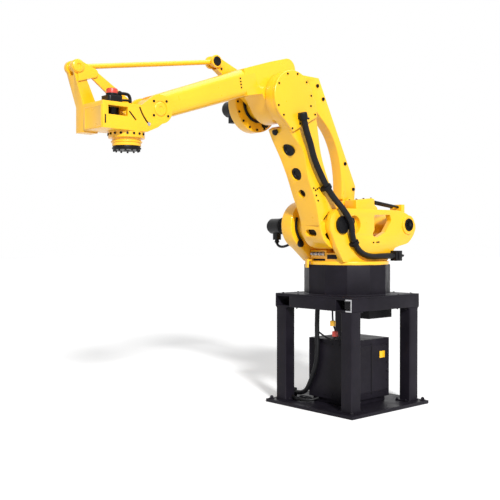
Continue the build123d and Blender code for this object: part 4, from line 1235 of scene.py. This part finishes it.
class ARM_OT_stage(Operator):
    """Set the camera, the lamps, the floor and the surrounding light"""

    bl_idname = "arm.stage"
    bl_label = "Stage"

    def execute(self, context):
        stage = context.scene.arm_stage
        self.camera(stage)
        self.lamps(stage)
        self.floor()
        self.surroundings(stage)
        context.scene.view_settings.view_transform = "Standard"
        return {"FINISHED"}

    def camera(self, stage):
        """The camera, turned from looking straight down to its heading and pitch."""
        data = bpy.data.cameras.new("camera")
        data.lens = stage.lens
        data.sensor_width = 36
        data.clip_end = 200
        camera = bpy.data.objects.new("camera", data)
        bpy.context.collection.objects.link(camera)
        camera.location = stage.eye
        camera.rotation_euler = (pi / 2 + stage.pitch, 0, stage.heading - pi / 2)
        bpy.context.scene.camera = camera

    def lamps(self, stage):
        """A low sun with soft shadows beside the camera and a soft lamp overhead."""
        data = bpy.data.lights.new("key_lamp", "SUN")
        data.energy = stage.key
        data.angle = radians(9)
        key = bpy.data.objects.new("key_lamp", data)
        bpy.context.collection.objects.link(key)
        heading = radians(62)
        height = radians(27)
        towards = Vector((cos(heading) * cos(height), sin(heading) * cos(height), sin(height)))
        key.rotation_euler = towards.to_track_quat("Z", "Y").to_euler()
        data = bpy.data.lights.new("overhead_lamp", "AREA")
        data.energy = 120
        data.shape = "RECTANGLE"
        data.size = 5
        data.size_y = 4
        overhead = bpy.data.objects.new("overhead_lamp", data)
        bpy.context.collection.objects.link(overhead)
        overhead.location = (0.5, 0.5, 6.5)

    def floor(self):
        """A white floor that keeps the arm's shadow."""
        bpy.ops.mesh.primitive_plane_add(size=120, location=(0, 0, 0))
        floor = bpy.context.object
        floor.name = "floor"
        material, tree, shader, _ = new_material("studio_floor")
        shader.inputs["Base Color"].default_value = (0.9, 0.9, 0.9, 1)
        shader.inputs["Roughness"].default_value = 0.9
        shader.inputs["Emission Color"].default_value = (1, 1, 1, 1)
        seen = self.seen(tree)
        glow = tree.nodes.new("ShaderNodeMath")
        glow.operation = "MULTIPLY"
        glow.inputs[1].default_value = 0.25
        tree.links.new(seen, glow.inputs[0])
        link(tree, glow, 0, shader, "Emission Strength")
        floor.data.materials.append(material)
        deselect()

    def seen(self, tree):
        """A value of one for camera, glossy and transmission rays, and zero for the others."""
        rays = tree.nodes.new("ShaderNodeLightPath")
        total = rays.outputs["Is Camera Ray"]
        for name in ("Is Glossy Ray", "Is Transmission Ray"):
            node = tree.nodes.new("ShaderNodeMath")
            node.operation = "MAXIMUM"
            tree.links.new(total, node.inputs[0])
            tree.links.new(rays.outputs[name], node.inputs[1])
            total = node.outputs[0]
        return total

    def surroundings(self, stage):
        """Even light from all sides, white where the camera sees it."""
        world = bpy.data.worlds.new("studio")
        bpy.context.scene.world = world
        world.use_nodes = True
        tree = world.node_tree
        background = tree.nodes["Background"]
        background.inputs["Color"].default_value = (1, 1, 1, 1)
        seen = self.seen(tree)
        span = tree.nodes.new("ShaderNodeMapRange")
        span.inputs["To Min"].default_value = stage.fill
        span.inputs["To Max"].default_value = 1.0
        tree.links.new(seen, span.inputs["Value"])
        link(tree, span, "Result", background, "Strength")


class ARM_PT_panel(Panel):
    """Shows the finish and stage settings and a button for each building step"""

    bl_idname = "ARM_PT_panel"
    bl_label = "Palletizing arm"
    bl_space_type = "VIEW_3D"
    bl_region_type = "UI"
    bl_category = "Arm"

    def draw(self, context):
        for group in (context.scene.arm_finish, context.scene.arm_stage):
            for name in group.__annotations__:
                self.layout.prop(group, name)
        for operator in STEPS:
            self.layout.operator(operator.bl_idname)


STEPS = (
    ARM_OT_stage,
    ARM_OT_finishes,
    ARM_OT_hoses,
    ARM_OT_castings,
    ARM_OT_screws,
    ARM_OT_bolts,
    ARM_OT_covers,
    ARM_OT_motors,
    ARM_OT_wrist_details,
    ARM_OT_turntable_details,
    ARM_OT_stand_details,
)
GROUPS = (ArmFinish, ArmStage)


def register():
    for item in (*GROUPS, *STEPS, ARM_PT_panel):
        bpy.utils.register_class(item)
    bpy.types.Scene.arm_finish = PointerProperty(type=ArmFinish)
    bpy.types.Scene.arm_stage = PointerProperty(type=ArmStage)


def unregister():
    del bpy.types.Scene.arm_stage
    del bpy.types.Scene.arm_finish
    for item in (ARM_PT_panel, *reversed(STEPS), *reversed(GROUPS)):
        bpy.utils.unregister_class(item)


def main():
    """Builds the whole scene in order."""
    register()
    deselect()
    bpy.ops.arm.stage()
    bpy.ops.arm.finishes()
    bpy.ops.arm.hoses()
    bpy.ops.arm.castings()
    bpy.ops.arm.screws()
    bpy.ops.arm.bolts()
    bpy.ops.arm.covers()
    bpy.ops.arm.motors()
    bpy.ops.arm.wrist_details()
    bpy.ops.arm.turntable_details()
    bpy.ops.arm.stand_details()


if __name__ == "__main__":
    main()
